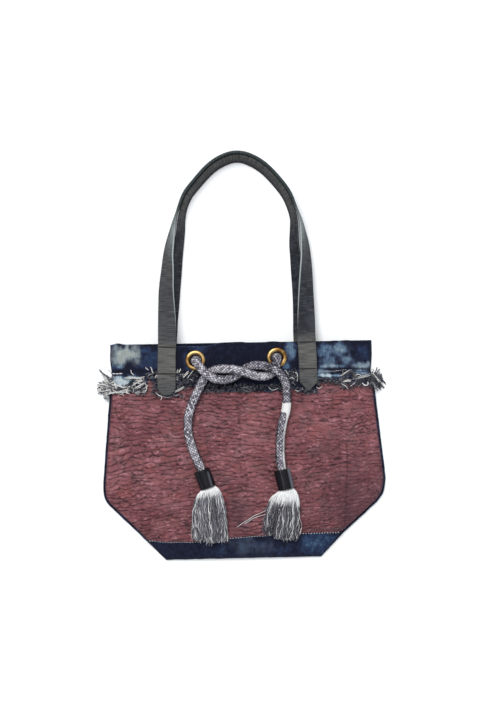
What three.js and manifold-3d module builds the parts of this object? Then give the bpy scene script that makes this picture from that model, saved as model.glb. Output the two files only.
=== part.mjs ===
// A tote bag that lies on its back, in millimetres.
// X runs across the bag, Y from its bottom to its handles, and Z up from the surface it lies on.
// The origin is the centre of the whole bag with its handles, on that surface.

import * as THREE from 'three';
import { mergeVertices } from 'three/addons/utils/BufferGeometryUtils.js';
import Module from 'manifold-3d';

const wasm = await Module();
wasm.setup();

// Walls and gaps
const wall = 2;
const gap = 0.3;

// Outline of the bag, as straight lines across it from side to side.
// dip is how far the middle of a line hangs below its ends, and steps the cells to the next line.
const outline = [
  { level: 'mouth', leftX: -180, leftY: 14, rightX: 179.5, rightY: 20.5, dip: 0, steps: 2 },
  { level: 'eyelets', leftX: -180.6, leftY: -8, rightX: 180.2, rightY: -0.5, dip: 0, steps: 2 },
  { level: 'bandSeam', leftX: -177.5, leftY: -26, rightX: 178, rightY: -20.5, dip: 0, steps: 3 },
  { level: 'fringeEdge', leftX: -181, leftY: -55, rightX: 184, rightY: -46, dip: 0, steps: 5 },
  { level: 'belly', leftX: -186.6, leftY: -131, rightX: 194.3, rightY: -128, dip: 0, steps: 3 },
  { level: 'widest', leftX: -190, leftY: -184, rightX: 199.5, rightY: -170, dip: 0, steps: 1 },
  { level: 'corner', leftX: -188.5, leftY: -197, rightX: 197, rightY: -189, dip: 0, steps: 1 },
  { level: 'diagonal', leftX: -183, leftY: -206, rightX: 188.6, rightY: -201, dip: 0, steps: 3 },
  { level: 'trimSeam', leftX: -132.8, leftY: -253.5, rightX: 141, rightY: -245, dip: 4, steps: 3 },
  { level: 'bottom', leftX: -103, leftY: -282.4, rightX: 110.4, rightY: -277.5, dip: 0, steps: 1 },
];

// Crown of the front over the edge of the bag
const crownHeight = 23;
const crownAtMouth = 20;
const crownFullness = 2.4;
const crownY = -125;
const mouthY = 17;
const bottomY = -280;
const columnCount = 42;
const columnCrowding = 1.25;

// The front edge of the mouth droops between these places
const droop = { depth: 4, centreX: -92, halfWidth: 60 };

// Straps
const strapWidth = 25.4;
const strapThickness = 4;
const strapTipLength = 12;
const strapTipWidth = 4;
const strapShoulder = 14.4;
const strapAxisX = -5.4;
const strapSteps = 72;
const arcDivisions = 800;

// The front strap: how far each leg stands out from the axis, its height, and how far its face
// has turned, in degrees, from lying flat to facing out of the arch.
const frontStrapLeg = [
  { y: 0, left: 96.5, right: 96.7, z: 26, turn: 3.5 },
  { y: 19, left: 96, right: 95.4, z: 25.8, turn: 5 },
  { y: 47, left: 96.3, right: 95, z: 25.6, turn: 18 },
  { y: 68, left: 96.9, right: 94.7, z: 25.4, turn: 29 },
  { y: 90, left: 97.2, right: 94.5, z: 24.8, turn: 39 },
  { y: 119, left: 95.4, right: 94.6, z: 23.6, turn: 51 },
  { y: 136, left: 94.6, right: 94.2, z: 22.8, turn: 60 },
  { y: 153, left: 92.2, right: 92.8, z: 22, turn: 67 },
  { y: 171, left: 88.7, right: 90, z: 21.2, turn: 77 },
  { y: 189, left: 84.6, right: 86.2, z: 20.2, turn: 86 },
  { y: 206.5, left: 79.1, right: 79.4, z: 19.4, turn: 90 },
  { y: 223.5, left: 72.5, right: 72.8, z: 18.8, turn: 90 },
  { y: 240, left: 60.3, right: 61.6, z: 18.3, turn: 90 },
  { y: 260.3, left: 42.6, right: 43.2, z: 18, turn: 90 },
  { y: 269.5, left: 31.3, right: 31.6, z: 18, turn: 90 },
  { y: 276, left: 19.2, right: 19.4, z: 18, turn: 90 },
  { y: 279.8, left: 7.2, right: 7.2, z: 18, turn: 90 },
];
const frontStrapTip = { leftX: -102, leftY: -55.5, rightX: 92.5, rightY: -48.5, z: 27, turn: 3.5 };

// The back strap, whose face looks down where it lies flat
const backStrapLeg = [
  { y: 0, left: 96, right: 92.4, z: 2, turn: 0 },
  { y: 22, left: 95.6, right: 92, z: 2.2, turn: 0 },
  { y: 33, left: 94.8, right: 91.5, z: 4.2, turn: 6 },
  { y: 47, left: 93.8, right: 91, z: 6.2, turn: 18 },
  { y: 68, left: 91.2, right: 89.4, z: 8.3, turn: 29 },
  { y: 90, left: 88.6, right: 87, z: 10.2, turn: 39 },
  { y: 119, left: 84.7, right: 82.7, z: 11.8, turn: 51 },
  { y: 136, left: 82.2, right: 80.4, z: 12.5, turn: 60 },
  { y: 153, left: 80, right: 78.4, z: 12.9, turn: 66 },
  { y: 171, left: 77, right: 77, z: 13, turn: 73 },
  { y: 188, left: 75, right: 75.6, z: 13, turn: 75 },
  { y: 203.9, left: 71.4, right: 72, z: 13, turn: 75 },
  { y: 219.6, left: 65.4, right: 65.8, z: 13, turn: 75 },
  { y: 235, left: 54, right: 55.2, z: 13, turn: 75 },
  { y: 254.6, left: 36.8, right: 37.4, z: 13, turn: 75 },
  { y: 262.6, left: 26.7, right: 27, z: 13, turn: 75 },
  { y: 268.3, left: 16, right: 16.2, z: 13, turn: 75 },
  { y: 271.6, left: 6.1, right: 6.1, z: 13, turn: 75 },
];
const backStrapTip = { leftX: -102, leftY: -55.5, rightX: 87, rightY: -48.5, z: 2, turn: 0 };

// How sharply the front takes up the lift of the back towards the sides
const rimFollowing = 6;

// How far the back is held off the surface by the strap ends, where it bridges the space between
// them, and by the crushed fringe
const strapLift = { height: 4.3, between: 1.4, halfWidth: 24, fade: 16, endY: -66, centresX: [-101.6, 87] };
const fringeLift = { height: 1.8, topY: -20, endY: -58, fade: 12 };

// Fringe
const fringeThickness = 3.4;
const fringeUnderStrap = 1;
const fringeUnderKnot = 1.4;
const fringeBackThickness = 1.5;
const fringeFadeAtStrap = 12;
const fringeFadeAtKnot = 8;
const knotSpan = { fromX: -68, toX: 74 };
const fringeOverhang = [
  { out: 0.045, lift: 2.4 },
  { out: 0.09, lift: 0.6 },
];
const roundingError = 0.001;

// Eyelets: a barrel through the band with a rolled rim in front and a flat one behind
const eyelets = [
  { name: 'eyelet_left', x: -62.7, y: -7.5 },
  { name: 'eyelet_right', x: 49.4, y: -3.5 },
];
const eyeletBoreRadius = 7.95;
const eyeletBarrelRadius = 9.2;
const eyeletHoleRadius = 9.6;
const eyeletRimRadius = 13.9;
const eyeletRimHeight = 2;
const eyeletBackRadius = 12.5;
const eyeletBackThickness = 1;
const eyeletSides = 32;
const eyeletDrillLength = 12;

// The rolled rim in front, from its outer foot to the bore: radius and height
const eyeletRim = [
  [eyeletRimRadius, 0],
  [eyeletRimRadius, 0.7],
  [eyeletRimRadius - 1, 1.6],
  [eyeletRimRadius - 3, eyeletRimHeight],
  [eyeletBoreRadius + 1, 1.7],
  [eyeletBoreRadius, 0.8],
];

// Drawcord: one rope in two lengths that meet inside the bag, each from there to its collar
const ropeDiameter = 12.5;
const ropeSides = 10;
const ropeRightRoute = [
  [29, -4.2, 12.4],
  [12, -4.7, 12.4],
  [-10, -5.4, 12.4],
  [-32, -6.3, 12.3],
  [-49, -7, 12.2],
  [-56.5, -7.3, 13.3],
  [-61.2, -7.5, 17],
  [-62.7, -7.5, 22.5],
  [-62.3, -8.2, 28],
  [-60.4, -11, 33.5],
  [-57, -15.4, 39],
  [-52.6, -20.6, 43.8],
  [-47.4, -25.8, 46.7],
  [-41.6, -29.9, 46.6],
  [-34.3, -32.9, 44],
  [-25.1, -34, 40],
  [-15.6, -32.3, 36.2],
  [-7.3, -28.7, 33.9],
  [-1, -23.7, 33.5],
  [6.6, -17.9, 34.3],
  [16.1, -14.6, 37.8],
  [27, -14.4, 42.8],
  [37.3, -16.2, 46.6],
  [47.7, -20.9, 47.7],
  [56.6, -29.6, 45],
  [61.2, -41.2, 39],
  [62.6, -54.8, 34],
  [61.7, -74.5, 32],
  [57, -92.5, 32.4],
  [54.2, -110, 33],
  [53.5, -127.5, 33.6],
  [53.9, -143, 35],
  [55.3, -154, 37.8],
  [57, -162.5, 38.2],
  [58.6, -170, 38.2],
];
const ropeLeftRoute = [
  [29.4, -4.2, 12.6],
  [36.5, -3.9, 12.6],
  [43.2, -3.6, 13.7],
  [47.9, -3.5, 17.4],
  [49.4, -3.5, 23],
  [49.3, -4.4, 28.4],
  [49, -7.8, 32.8],
  [48.4, -13.4, 34.3],
  [46, -20.2, 33.9],
  [40.6, -26, 33.4],
  [32, -29, 35.2],
  [21.4, -28.4, 39.4],
  [11, -25.8, 44.4],
  [0.5, -22.4, 47],
  [-10, -19.8, 46.4],
  [-21.5, -19.1, 42.2],
  [-32.6, -19.9, 36.6],
  [-42.4, -23.6, 33.2],
  [-49, -30.2, 32.7],
  [-54.6, -39.8, 33],
  [-60.7, -52.4, 33],
  [-67.2, -67, 31.8],
  [-71.8, -83.5, 31.6],
  [-72.7, -101.2, 32],
  [-69.6, -118.7, 32.6],
  [-63.6, -136, 33.6],
  [-58.4, -147.2, 35.8],
  [-54.9, -156, 38],
  [-52.2, -163, 38.2],
  [-49.8, -169.2, 38.2],
];
const ropeStepLength = 5;

// Collars and tassels: each collar by the middle of its two ends, each tassel by its far end
const collarOuterRadius = 11.6;
const collarBoreRadius = 6.9;
const collarEdge = 1.2;
const collarSides = 28;
const ends = [
  { side: 'left', from: [-54, -157.6, 38.2], to: [-44.9, -181.8, 38.2], tassel: [-41.4, -257.5] },
  { side: 'right', from: [55.8, -157, 38.2], to: [62, -183.9, 38.2], tassel: [53, -252.3] },
];
const tasselSections = [
  { along: 0, width: 19, height: 18 },
  { along: 0.1, width: 24, height: 19 },
  { along: 0.3, width: 39, height: 19 },
  { along: 0.6, width: 51, height: 18 },
  { along: 0.88, width: 50, height: 13 },
  { along: 1, width: 34, height: 7 },
];
const tasselSides = 24;
const tasselClearance = 0.9;

// A tassel leaves its collar in line with it and has turned to its own direction by this share
const tasselTurnedBy = 0.25;

const degrees = Math.PI / 180;

function mix(from, to, share) {
  return from + (to - from) * share;
}

// 0 at and below the start of the fade, 1 at and past its end
function fadeIn(value, start, end) {
  const share = THREE.MathUtils.clamp((value - start) / (end - start), 0, 1);
  return share * share * (3 - 2 * share);
}

function crownAt(y) {
  if (y > crownY) {
    return mix(crownHeight, crownAtMouth, (y - crownY) / (mouthY - crownY));
  }
  const share = Math.min((crownY - y) / (crownY - bottomY), 1);
  return crownHeight * Math.sqrt(1 - share ** crownFullness);
}

// The lines across the bag, and the number of the line at each named level
const lines = [];
const levels = {};
for (const [index, row] of outline.entries()) {
  levels[row.level] = lines.length;
  const next = outline[index + 1];
  if (!next) {
    lines.push({ ...row });
    break;
  }
  for (let step = 0; step < row.steps; step += 1) {
    const share = step / row.steps;
    const line = {};
    for (const key of ['leftX', 'leftY', 'rightX', 'rightY', 'dip']) {
      line[key] = mix(row[key], next[key], share);
    }
    lines.push(line);
  }
}

const columns = [];
for (let column = 0; column <= columnCount; column += 1) {
  const share = (2 * column) / columnCount - 1;
  columns.push(Math.sin(share * columnCrowding) / Math.sin(columnCrowding));
}

function lineX(line, across) {
  return mix(line.leftX, line.rightX, (across + 1) / 2);
}

function lineY(line, across) {
  return mix(line.leftY, line.rightY, (across + 1) / 2) - line.dip * (1 - across * across);
}

function strapPad(x, y) {
  const [leftX, rightX] = strapLift.centresX;
  let pad = x > leftX && x < rightX ? strapLift.between / strapLift.height : 0;
  for (const centreX of strapLift.centresX) {
    const aside = Math.abs(x - centreX) - strapLift.halfWidth;
    pad = Math.max(pad, 1 - fadeIn(aside, 0, strapLift.fade));
  }
  return pad * (1 - fadeIn(strapLift.endY - y, 0, strapLift.fade));
}

function fringePad(y) {
  const below = 1 - fadeIn(y, fringeLift.topY, fringeLift.topY + fringeLift.fade);
  const above = 1 - fadeIn(fringeLift.endY - y, 0, fringeLift.fade);
  return below * above;
}

// Heights of the outer and inner sides of the two walls
function backOuter(line, across) {
  const x = lineX(line, across);
  const y = lineY(line, across);
  return strapLift.height * strapPad(x, y) + fringeLift.height * fringePad(y);
}

function backInner(line, across) {
  return backOuter(line, across) + wall;
}

function frontInner(line, across) {
  const inside = Math.min(Math.abs(across), 1);
  const middleY = (line.leftY + line.rightY) / 2;
  const dome = crownAt(middleY) * Math.sqrt(1 - inside * inside);
  return wall + gap + dome + backOuter(line, across) * inside ** rimFollowing;
}

function frontOuter(line, across) {
  return frontInner(line, across) + wall;
}

function frontHeightAt(x, y) {
  for (let index = 1; index < lines.length; index += 1) {
    const line = lines[index];
    const before = lines[index - 1];
    const across = (2 * (x - line.leftX)) / (line.rightX - line.leftX) - 1;
    const y1 = lineY(line, across);
    if (y1 <= y) {
      const y0 = lineY(before, across);
      const share = (y0 - y) / (y0 - y1);
      return mix(frontOuter(before, across), frontOuter(line, across), share);
    }
  }
  return wall * 2 + gap;
}

function geometryFrom(positions, triangles) {
  const geometry = new THREE.BufferGeometry();
  geometry.setAttribute('position', new THREE.Float32BufferAttribute(positions, 3));
  geometry.setIndex(triangles);
  geometry.computeVertexNormals();
  return geometry;
}

// A closed plate between two grids of points, rows going down a face and columns across it
function plate(upper, lower) {
  const rowCount = upper.length;
  const width = upper[0].length;
  const positions = [...upper.flat(), ...lower.flat()].flat();
  const triangles = [];
  const at = (row, column) => row * width + column;
  const under = (row, column) => rowCount * width + at(row, column);
  for (let row = 0; row + 1 < rowCount; row += 1) {
    for (let column = 0; column + 1 < width; column += 1) {
      const corner = [[row, column], [row + 1, column], [row + 1, column + 1], [row, column + 1]];
      const [a, b, c, d] = corner.map(([i, j]) => at(i, j));
      const [e, f, g, h] = corner.map(([i, j]) => under(i, j));
      triangles.push(a, b, c, a, c, d, e, g, f, e, h, g);
    }
    const last = width - 1;
    triangles.push(at(row, 0), under(row, 0), under(row + 1, 0));
    triangles.push(at(row, 0), under(row + 1, 0), at(row + 1, 0));
    triangles.push(at(row, last), under(row + 1, last), under(row, last));
    triangles.push(at(row, last), at(row + 1, last), under(row + 1, last));
  }
  for (let column = 0; column + 1 < width; column += 1) {
    const end = rowCount - 1;
    triangles.push(at(0, column), at(0, column + 1), under(0, column + 1));
    triangles.push(at(0, column), under(0, column + 1), under(0, column));
    triangles.push(at(end, column), under(end, column + 1), at(end, column + 1));
    triangles.push(at(end, column), under(end, column), under(end, column + 1));
  }
  return geometryFrom(positions, triangles);
}

function frontDroop(x) {
  return droop.depth * (1 - fadeIn(Math.abs(x - droop.centreX), droop.halfWidth / 2, droop.halfWidth));
}

// A wall of the bag from one level to another. A seam that it shares with a neighbour is set
// back by half the gap.
function wallPiece({ from, to, upper, lower, across = columns, seamAtFrom, seamAtTo, shape }) {
  const first = levels[from];
  const last = levels[to];
  const grid = (height) => lines.slice(first, last + 1).map((line, index) => across.map((u) => {
    const x = lineX(line, u);
    let y = lineY(line, u);
    if (index === 0) {
      y -= seamAtFrom ? gap / 2 : 0;
      y -= shape === 'drooping' ? frontDroop(x) : 0;
    }
    if (index === last - first) {
      y += seamAtTo ? gap / 2 : 0;
    }
    return [x, y, height(line, u)];
  }));
  return plate(grid(upper), grid(lower));
}

// The fringe lies on the front and hangs over the sides
function fringeFrontLower(line, across) {
  const beyond = Math.abs(across) - 1;
  const clear = frontOuter(line, across) + gap;
  if (beyond <= 0) {
    return clear;
  }
  const overhang = fringeOverhang.find((row) => beyond <= row.out + roundingError);
  return overhang.lift;
}

function fringeDepth(x) {
  let depth = fringeThickness;
  for (const centreX of [frontStrapTip.leftX, frontStrapTip.rightX]) {
    const aside = Math.abs(x - centreX) - strapLift.halfWidth;
    const near = 1 - fadeIn(aside, 0, fringeFadeAtStrap);
    depth = Math.min(depth, mix(fringeThickness, fringeUnderStrap, near));
  }
  const pastLeft = fadeIn(x, knotSpan.fromX - fringeFadeAtKnot, knotSpan.fromX);
  const pastRight = fadeIn(x, knotSpan.toX, knotSpan.toX + fringeFadeAtKnot);
  const inKnot = pastLeft * (1 - pastRight);
  return Math.min(depth, mix(fringeThickness, fringeUnderKnot, inKnot));
}

function fringeFrontGeometry() {
  const outs = fringeOverhang.map((row) => 1 + row.out);
  const across = [...outs.map((out) => -out).reverse(), ...columns, ...outs];
  const upper = (line, u) => fringeFrontLower(line, u) + fringeDepth(lineX(line, u));
  return wallPiece({ from: 'bandSeam', to: 'fringeEdge', upper, lower: fringeFrontLower, across });
}

function fringeBackGeometry() {
  const across = columns.slice(1, -1);
  const lower = (line, u) => strapLift.height * strapPad(lineX(line, u), lineY(line, u));
  const upper = (line, u) => lower(line, u) + fringeBackThickness * fringePad(lineY(line, u));
  return wallPiece({ from: 'bandSeam', to: 'fringeEdge', upper, lower, across });
}

function toManifold(geometry) {
  const bare = geometry.clone();
  bare.deleteAttribute('normal');
  bare.deleteAttribute('uv');
  const merged = mergeVertices(bare, 1e-4);
  return new wasm.Manifold(new wasm.Mesh({
    numProp: 3,
    vertProperties: new Float32Array(merged.attributes.position.array),
    triVerts: new Uint32Array(merged.index.array),
  }));
}

function fromManifold(solid) {
  const mesh = solid.getMesh();
  return geometryFrom(Array.from(mesh.vertProperties), Array.from(mesh.triVerts));
}

// Where an eyelet stands on the band, turned square to it
function eyeletPlacement({ x, y }) {
  const reach = eyeletRimRadius;
  const rise = (dx, dy) => frontHeightAt(x + dx, y + dy);
  const slopeX = (rise(reach, 0) - rise(-reach, 0)) / (2 * reach);
  const slopeY = (rise(0, reach) - rise(0, -reach)) / (2 * reach);
  const normal = new THREE.Vector3(-slopeX, -slopeY, 1).normalize();
  const turn = new THREE.Quaternion().setFromUnitVectors(new THREE.Vector3(0, 0, 1), normal);
  return { position: new THREE.Vector3(x, y, rise(0, 0)), turn };
}

function bandFrontGeometry() {
  let band = toManifold(wallPiece({
    from: 'mouth', to: 'bandSeam', upper: frontOuter, lower: frontInner, seamAtTo: true, shape: 'drooping',
  }));
  for (const eyelet of eyelets) {
    const { position, turn } = eyeletPlacement(eyelet);
    const drill = new THREE.CylinderGeometry(
      eyeletHoleRadius, eyeletHoleRadius, eyeletDrillLength, eyeletSides,
    );
    drill.rotateX(90 * degrees);
    drill.applyQuaternion(turn);
    drill.translate(position.x, position.y, position.z);
    band = band.subtract(toManifold(drill));
  }
  return fromManifold(band);
}

function eyeletGeometry() {
  const back = -(wall + 2 * gap);
  const profile = [
    [eyeletBoreRadius, back - eyeletBackThickness],
    [eyeletBackRadius, back - eyeletBackThickness],
    [eyeletBackRadius, back],
    [eyeletBarrelRadius, back],
    [eyeletBarrelRadius, 0],
    ...eyeletRim,
    [eyeletBoreRadius, back - eyeletBackThickness],
  ];
  const points = profile.map(([radius, height]) => new THREE.Vector2(radius, height));
  const ring = new THREE.LatheGeometry(points, eyeletSides);
  ring.rotateX(90 * degrees);
  ring.translate(0, 0, gap);
  return ring;
}

// A strap: a flat plate swept over the arch from its left point to its right one
function strapGeometry(legRows, tip, faceSign) {
  const leftTip = [
    [tip.leftX, tip.leftY, tip.z],
    [tip.leftX, tip.leftY + strapShoulder, tip.z],
  ];
  const rightTip = [
    [tip.rightX, tip.rightY + strapShoulder, tip.z],
    [tip.rightX, tip.rightY, tip.z],
  ];
  const leftLeg = legRows.map((row) => [strapAxisX - row.left, row.y, row.z]);
  const rightLeg = legRows.map((row) => [strapAxisX + row.right, row.y, row.z]).reverse();
  const turns = legRows.map((row) => row.turn);
  const route = [...leftTip, ...leftLeg, ...rightLeg, ...rightTip];
  const turnRoute = [tip.turn, tip.turn, ...turns, ...[...turns].reverse(), tip.turn, tip.turn];
  const curve = new THREE.CatmullRomCurve3(route.map((point) => new THREE.Vector3(...point)));
  const turnCurve = new THREE.CatmullRomCurve3(turnRoute.map((turn) => new THREE.Vector3(turn, 0, 0)));
  curve.arcLengthDivisions = arcDivisions;
  const length = curve.getLength();
  const upper = [];
  const lower = [];
  for (const along of strapStations(length)) {
    const share = curve.getUtoTmapping(along / length);
    const centre = curve.getPoint(share);
    const tangent = curve.getTangent(share).setZ(0).normalize();
    const outward = new THREE.Vector3(-tangent.y, tangent.x, 0);
    const turn = turnCurve.getPoint(share).x * degrees;
    const face = new THREE.Vector3(0, 0, faceSign * Math.cos(turn)).addScaledVector(outward, Math.sin(turn));
    const side = new THREE.Vector3().crossVectors(face, tangent);
    const fromEnd = Math.min(along, length - along);
    const width = mix(strapTipWidth, strapWidth, Math.min(fromEnd / strapTipLength, 1));
    const corner = (across, out) => centre.clone()
      .addScaledVector(side, (across * width) / 2)
      .addScaledVector(face, (out * strapThickness) / 2)
      .toArray();
    upper.push([corner(-1, 1), corner(1, 1)]);
    lower.push([corner(-1, -1), corner(1, -1)]);
  }
  return plate(upper, lower);
}

// Distances along a strap, with one at each shoulder of its pointed ends
function strapStations(length) {
  const stations = [0];
  const straight = length - 2 * strapTipLength;
  for (let step = 0; step <= strapSteps; step += 1) {
    stations.push(strapTipLength + (straight * step) / strapSteps);
  }
  stations.push(length);
  return stations;
}

function ropeGeometry(route) {
  const curve = new THREE.CatmullRomCurve3(route.map((point) => new THREE.Vector3(...point)));
  const section = new THREE.Shape();
  for (let side = 0; side < ropeSides; side += 1) {
    const angle = (360 * degrees * side) / ropeSides;
    const place = [(ropeDiameter / 2) * Math.cos(angle), (ropeDiameter / 2) * Math.sin(angle)];
    if (side === 0) {
      section.moveTo(...place);
    } else {
      section.lineTo(...place);
    }
  }
  const steps = Math.round(curve.getLength() / ropeStepLength);
  return new THREE.ExtrudeGeometry(section, { steps, extrudePath: curve, bevelEnabled: false });
}

function collarGeometry(length) {
  const profile = [
    [collarBoreRadius, 0],
    [collarOuterRadius - collarEdge, 0],
    [collarOuterRadius, collarEdge],
    [collarOuterRadius, length - collarEdge],
    [collarOuterRadius - collarEdge, length],
    [collarBoreRadius, length],
    [collarBoreRadius, 0],
  ];
  return new THREE.LatheGeometry(profile.map((point) => new THREE.Vector2(...point)), collarSides);
}

// A tassel's outer form: flattened sections from its collar to its far end, lying on the front
function tasselGeometry(end) {
  const start = new THREE.Vector3(...end.to);
  const axis = start.clone().sub(new THREE.Vector3(...end.from)).setZ(0).normalize();
  start.addScaledVector(axis, gap);
  const middle = new THREE.Vector2(start.x, start.y);
  const finish = new THREE.Vector2(...end.tassel);
  const direction = finish.clone().sub(middle).normalize();
  const positions = [];
  for (const section of tasselSections) {
    const place = middle.clone().lerp(finish, section.along);
    const turnShare = Math.min(section.along / tasselTurnedBy, 1);
    const turned = new THREE.Vector2(axis.x, axis.y).lerp(direction, turnShare).normalize();
    const side = new THREE.Vector2(-turned.y, turned.x);
    const resting = frontHeightAt(place.x, place.y) + tasselClearance + section.height / 2;
    const z = section.along === 0 ? start.z : Math.min(resting, start.z);
    for (let index = 0; index < tasselSides; index += 1) {
      const angle = (360 * degrees * index) / tasselSides;
      const out = (section.width / 2) * Math.cos(angle);
      const up = (section.height / 2) * Math.sin(angle);
      positions.push(place.x + side.x * out, place.y + side.y * out, z + up);
    }
  }
  const triangles = [];
  const rings = tasselSections.length;
  for (let ring = 0; ring + 1 < rings; ring += 1) {
    for (let index = 0; index < tasselSides; index += 1) {
      const next = (index + 1) % tasselSides;
      const [a, b] = [ring * tasselSides + index, ring * tasselSides + next];
      const [c, d] = [a + tasselSides, b + tasselSides];
      triangles.push(a, b, d, a, d, c);
    }
  }
  const last = (rings - 1) * tasselSides;
  for (let index = 1; index + 1 < tasselSides; index += 1) {
    triangles.push(0, index + 1, index);
    triangles.push(last, last + index, last + index + 1);
  }
  return geometryFrom(positions, triangles);
}

const looks = {
  leather: new THREE.MeshStandardMaterial({ color: 0x80535a, roughness: 0.7, metalness: 0 }),
  denim: new THREE.MeshStandardMaterial({ color: 0x232738, roughness: 0.9, metalness: 0 }),
  fray: new THREE.MeshStandardMaterial({ color: 0x868b91, roughness: 1, metalness: 0 }),
  strapLeather: new THREE.MeshStandardMaterial({ color: 0x494d55, roughness: 0.55, metalness: 0 }),
  brass: new THREE.MeshStandardMaterial({ color: 0xb08a4a, roughness: 0.3, metalness: 1 }),
  rope: new THREE.MeshStandardMaterial({ color: 0xa3a2a7, roughness: 0.95, metalness: 0 }),
  collarLeather: new THREE.MeshStandardMaterial({ color: 0x1e1e28, roughness: 0.4, metalness: 0 }),
};

const group = new THREE.Group();

function addPiece(name, geometry, look) {
  const piece = new THREE.Mesh(geometry, looks[look].clone());
  piece.name = name;
  group.add(piece);
  return piece;
}

addPiece('band_front', bandFrontGeometry(), 'denim');
addPiece('front_panel', wallPiece({
  from: 'bandSeam', to: 'trimSeam', upper: frontOuter, lower: frontInner, seamAtFrom: true, seamAtTo: true,
}), 'leather');
addPiece('bottom_trim', wallPiece({
  from: 'trimSeam', to: 'bottom', upper: frontOuter, lower: frontInner, seamAtFrom: true,
}), 'denim');
addPiece('band_back', wallPiece({
  from: 'mouth', to: 'bandSeam', upper: backInner, lower: backOuter, seamAtTo: true,
}), 'denim');
addPiece('back_panel', wallPiece({
  from: 'bandSeam', to: 'bottom', upper: backInner, lower: backOuter, seamAtFrom: true,
}), 'denim');
addPiece('fringe_front', fringeFrontGeometry(), 'fray');
addPiece('fringe_back', fringeBackGeometry(), 'fray');
addPiece('strap_front', strapGeometry(frontStrapLeg, frontStrapTip, 1), 'strapLeather');
addPiece('strap_back', strapGeometry(backStrapLeg, backStrapTip, -1), 'strapLeather');

for (const eyelet of eyelets) {
  const { position, turn } = eyeletPlacement(eyelet);
  const ring = addPiece(eyelet.name, eyeletGeometry(), 'brass');
  ring.position.copy(position);
  ring.quaternion.copy(turn);
}

addPiece('rope_right', ropeGeometry(ropeRightRoute), 'rope');
addPiece('rope_left', ropeGeometry(ropeLeftRoute), 'rope');

for (const end of ends) {
  const from = new THREE.Vector3(...end.from);
  const to = new THREE.Vector3(...end.to);
  const along = to.clone().sub(from);
  const collar = addPiece(`collar_${end.side}`, collarGeometry(along.length()), 'collarLeather');
  collar.position.copy(from);
  collar.quaternion.setFromUnitVectors(new THREE.Vector3(0, 1, 0), along.normalize());
  addPiece(`tassel_${end.side}`, tasselGeometry(end), 'rope');
}

export default group;
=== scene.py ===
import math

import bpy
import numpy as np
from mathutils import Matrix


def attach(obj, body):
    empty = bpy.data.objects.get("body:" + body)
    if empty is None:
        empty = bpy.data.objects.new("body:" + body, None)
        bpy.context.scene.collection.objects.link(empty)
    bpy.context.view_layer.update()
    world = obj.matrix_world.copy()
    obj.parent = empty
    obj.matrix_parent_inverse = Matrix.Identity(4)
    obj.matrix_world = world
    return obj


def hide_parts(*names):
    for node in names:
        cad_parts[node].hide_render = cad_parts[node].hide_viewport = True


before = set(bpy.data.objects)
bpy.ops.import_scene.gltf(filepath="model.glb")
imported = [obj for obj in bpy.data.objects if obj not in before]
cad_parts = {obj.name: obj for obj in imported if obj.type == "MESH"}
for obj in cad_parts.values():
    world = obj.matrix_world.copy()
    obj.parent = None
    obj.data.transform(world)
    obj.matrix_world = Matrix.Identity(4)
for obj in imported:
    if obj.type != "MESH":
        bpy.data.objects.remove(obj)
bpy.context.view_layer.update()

# A denim and leather tote bag that lies on its back, seen from straight above.
# Lengths are in millimetres until a mesh is made. X runs across the bag, Y from its bottom to its
# handles, and Z up from the surface it lies on.

millimetre = 0.001
tau = 2 * math.pi

# One pixel of the photograph, and the pixel that is the frame's origin
pixel = 1.38
origin_pixel = (241, 355)

# Camera
camera_place = (-1.4, -6.9, 5000)
camera_lens = 181.2
camera_reach = 60

# Studio lights: place in metres, size, power and colour
lights = {
    "window": ((-1.0, 2.1, 4.2), 2.4, 172, (1, 0.99, 0.97)),
    "bounce": ((2.2, -2.0, 2.6), 2.5, 30, (0.92, 0.96, 1)),
}
sky_color = (0.93, 0.965, 1, 1)
sky_strength = 0.46
floor_size = 14
floor_height = -0.0004

# Outline of the bag from its mouth to its bottom: left x and y, right x and y, and how far the
# middle of the line between them hangs below its ends
outline = {
    "mouth": (-180, 14, 179.5, 20.5, 0),
    "eyelets": (-180.6, -8, 180.2, -0.5, 0),
    "band_seam": (-177.5, -26, 178, -20.5, 0),
    "fringe_edge": (-181, -55, 184, -46, 0),
    "belly": (-186.6, -131, 194.3, -128, 0),
    "widest": (-190, -184, 199.5, -170, 0),
    "corner": (-188.5, -197, 197, -189, 0),
    "diagonal": (-183, -206, 188.6, -201, 0),
    "trim_seam": (-132.8, -253.5, 141, -245, 4),
    "bottom": (-103, -282.4, 110.4, -277.5, 0),
}
corner_rounding = 3.5

# Heights of the walls
wall = 2
gap = 0.3
crown_height = 23
crown_at_mouth = 20
crown_fullness = 2.4
crown_y = -125
mouth_y = 17
bottom_y = -280
strap_lift = 4.3
strap_lift_centres = (-101.6, 87)
lift_between = 1.4
fringe_lift = 1.8
floor_gap = 0.15

# Cells of the leather's grid between its edges, in each of which its top has some steps, and how
# far its top is sunk to leave room for the crinkle
leather_cells = (63, 86)
leather_steps = 4
leather_sunk = 0.9

# Width and height of the crinkle's long cells and of its short ones
long_cell = (19, 5.7)
short_cell = (7.6, 4.8)

# A fold that runs down the leather, by its pixel across the photograph
fold_pixel = 346

# The seam above the trim: pixel across the photograph, and how far it lies above an even line
trim_seam_shape = [
    (140, 0), (150, -2.6), (165, -4.2), (195, -3.7), (213, -1.6), (230, 1.2), (255, 2.9),
    (280, 3.5), (303, 3.6), (343, 0.7),
]

# Band round the mouth: how far down its hem is stitched, and how far its folded edge rolls
hem_line = 11
mouth_roll = 2.0

# Rolled edge between front and back
roll_radius = 2.1
roll_sides = 12

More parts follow.
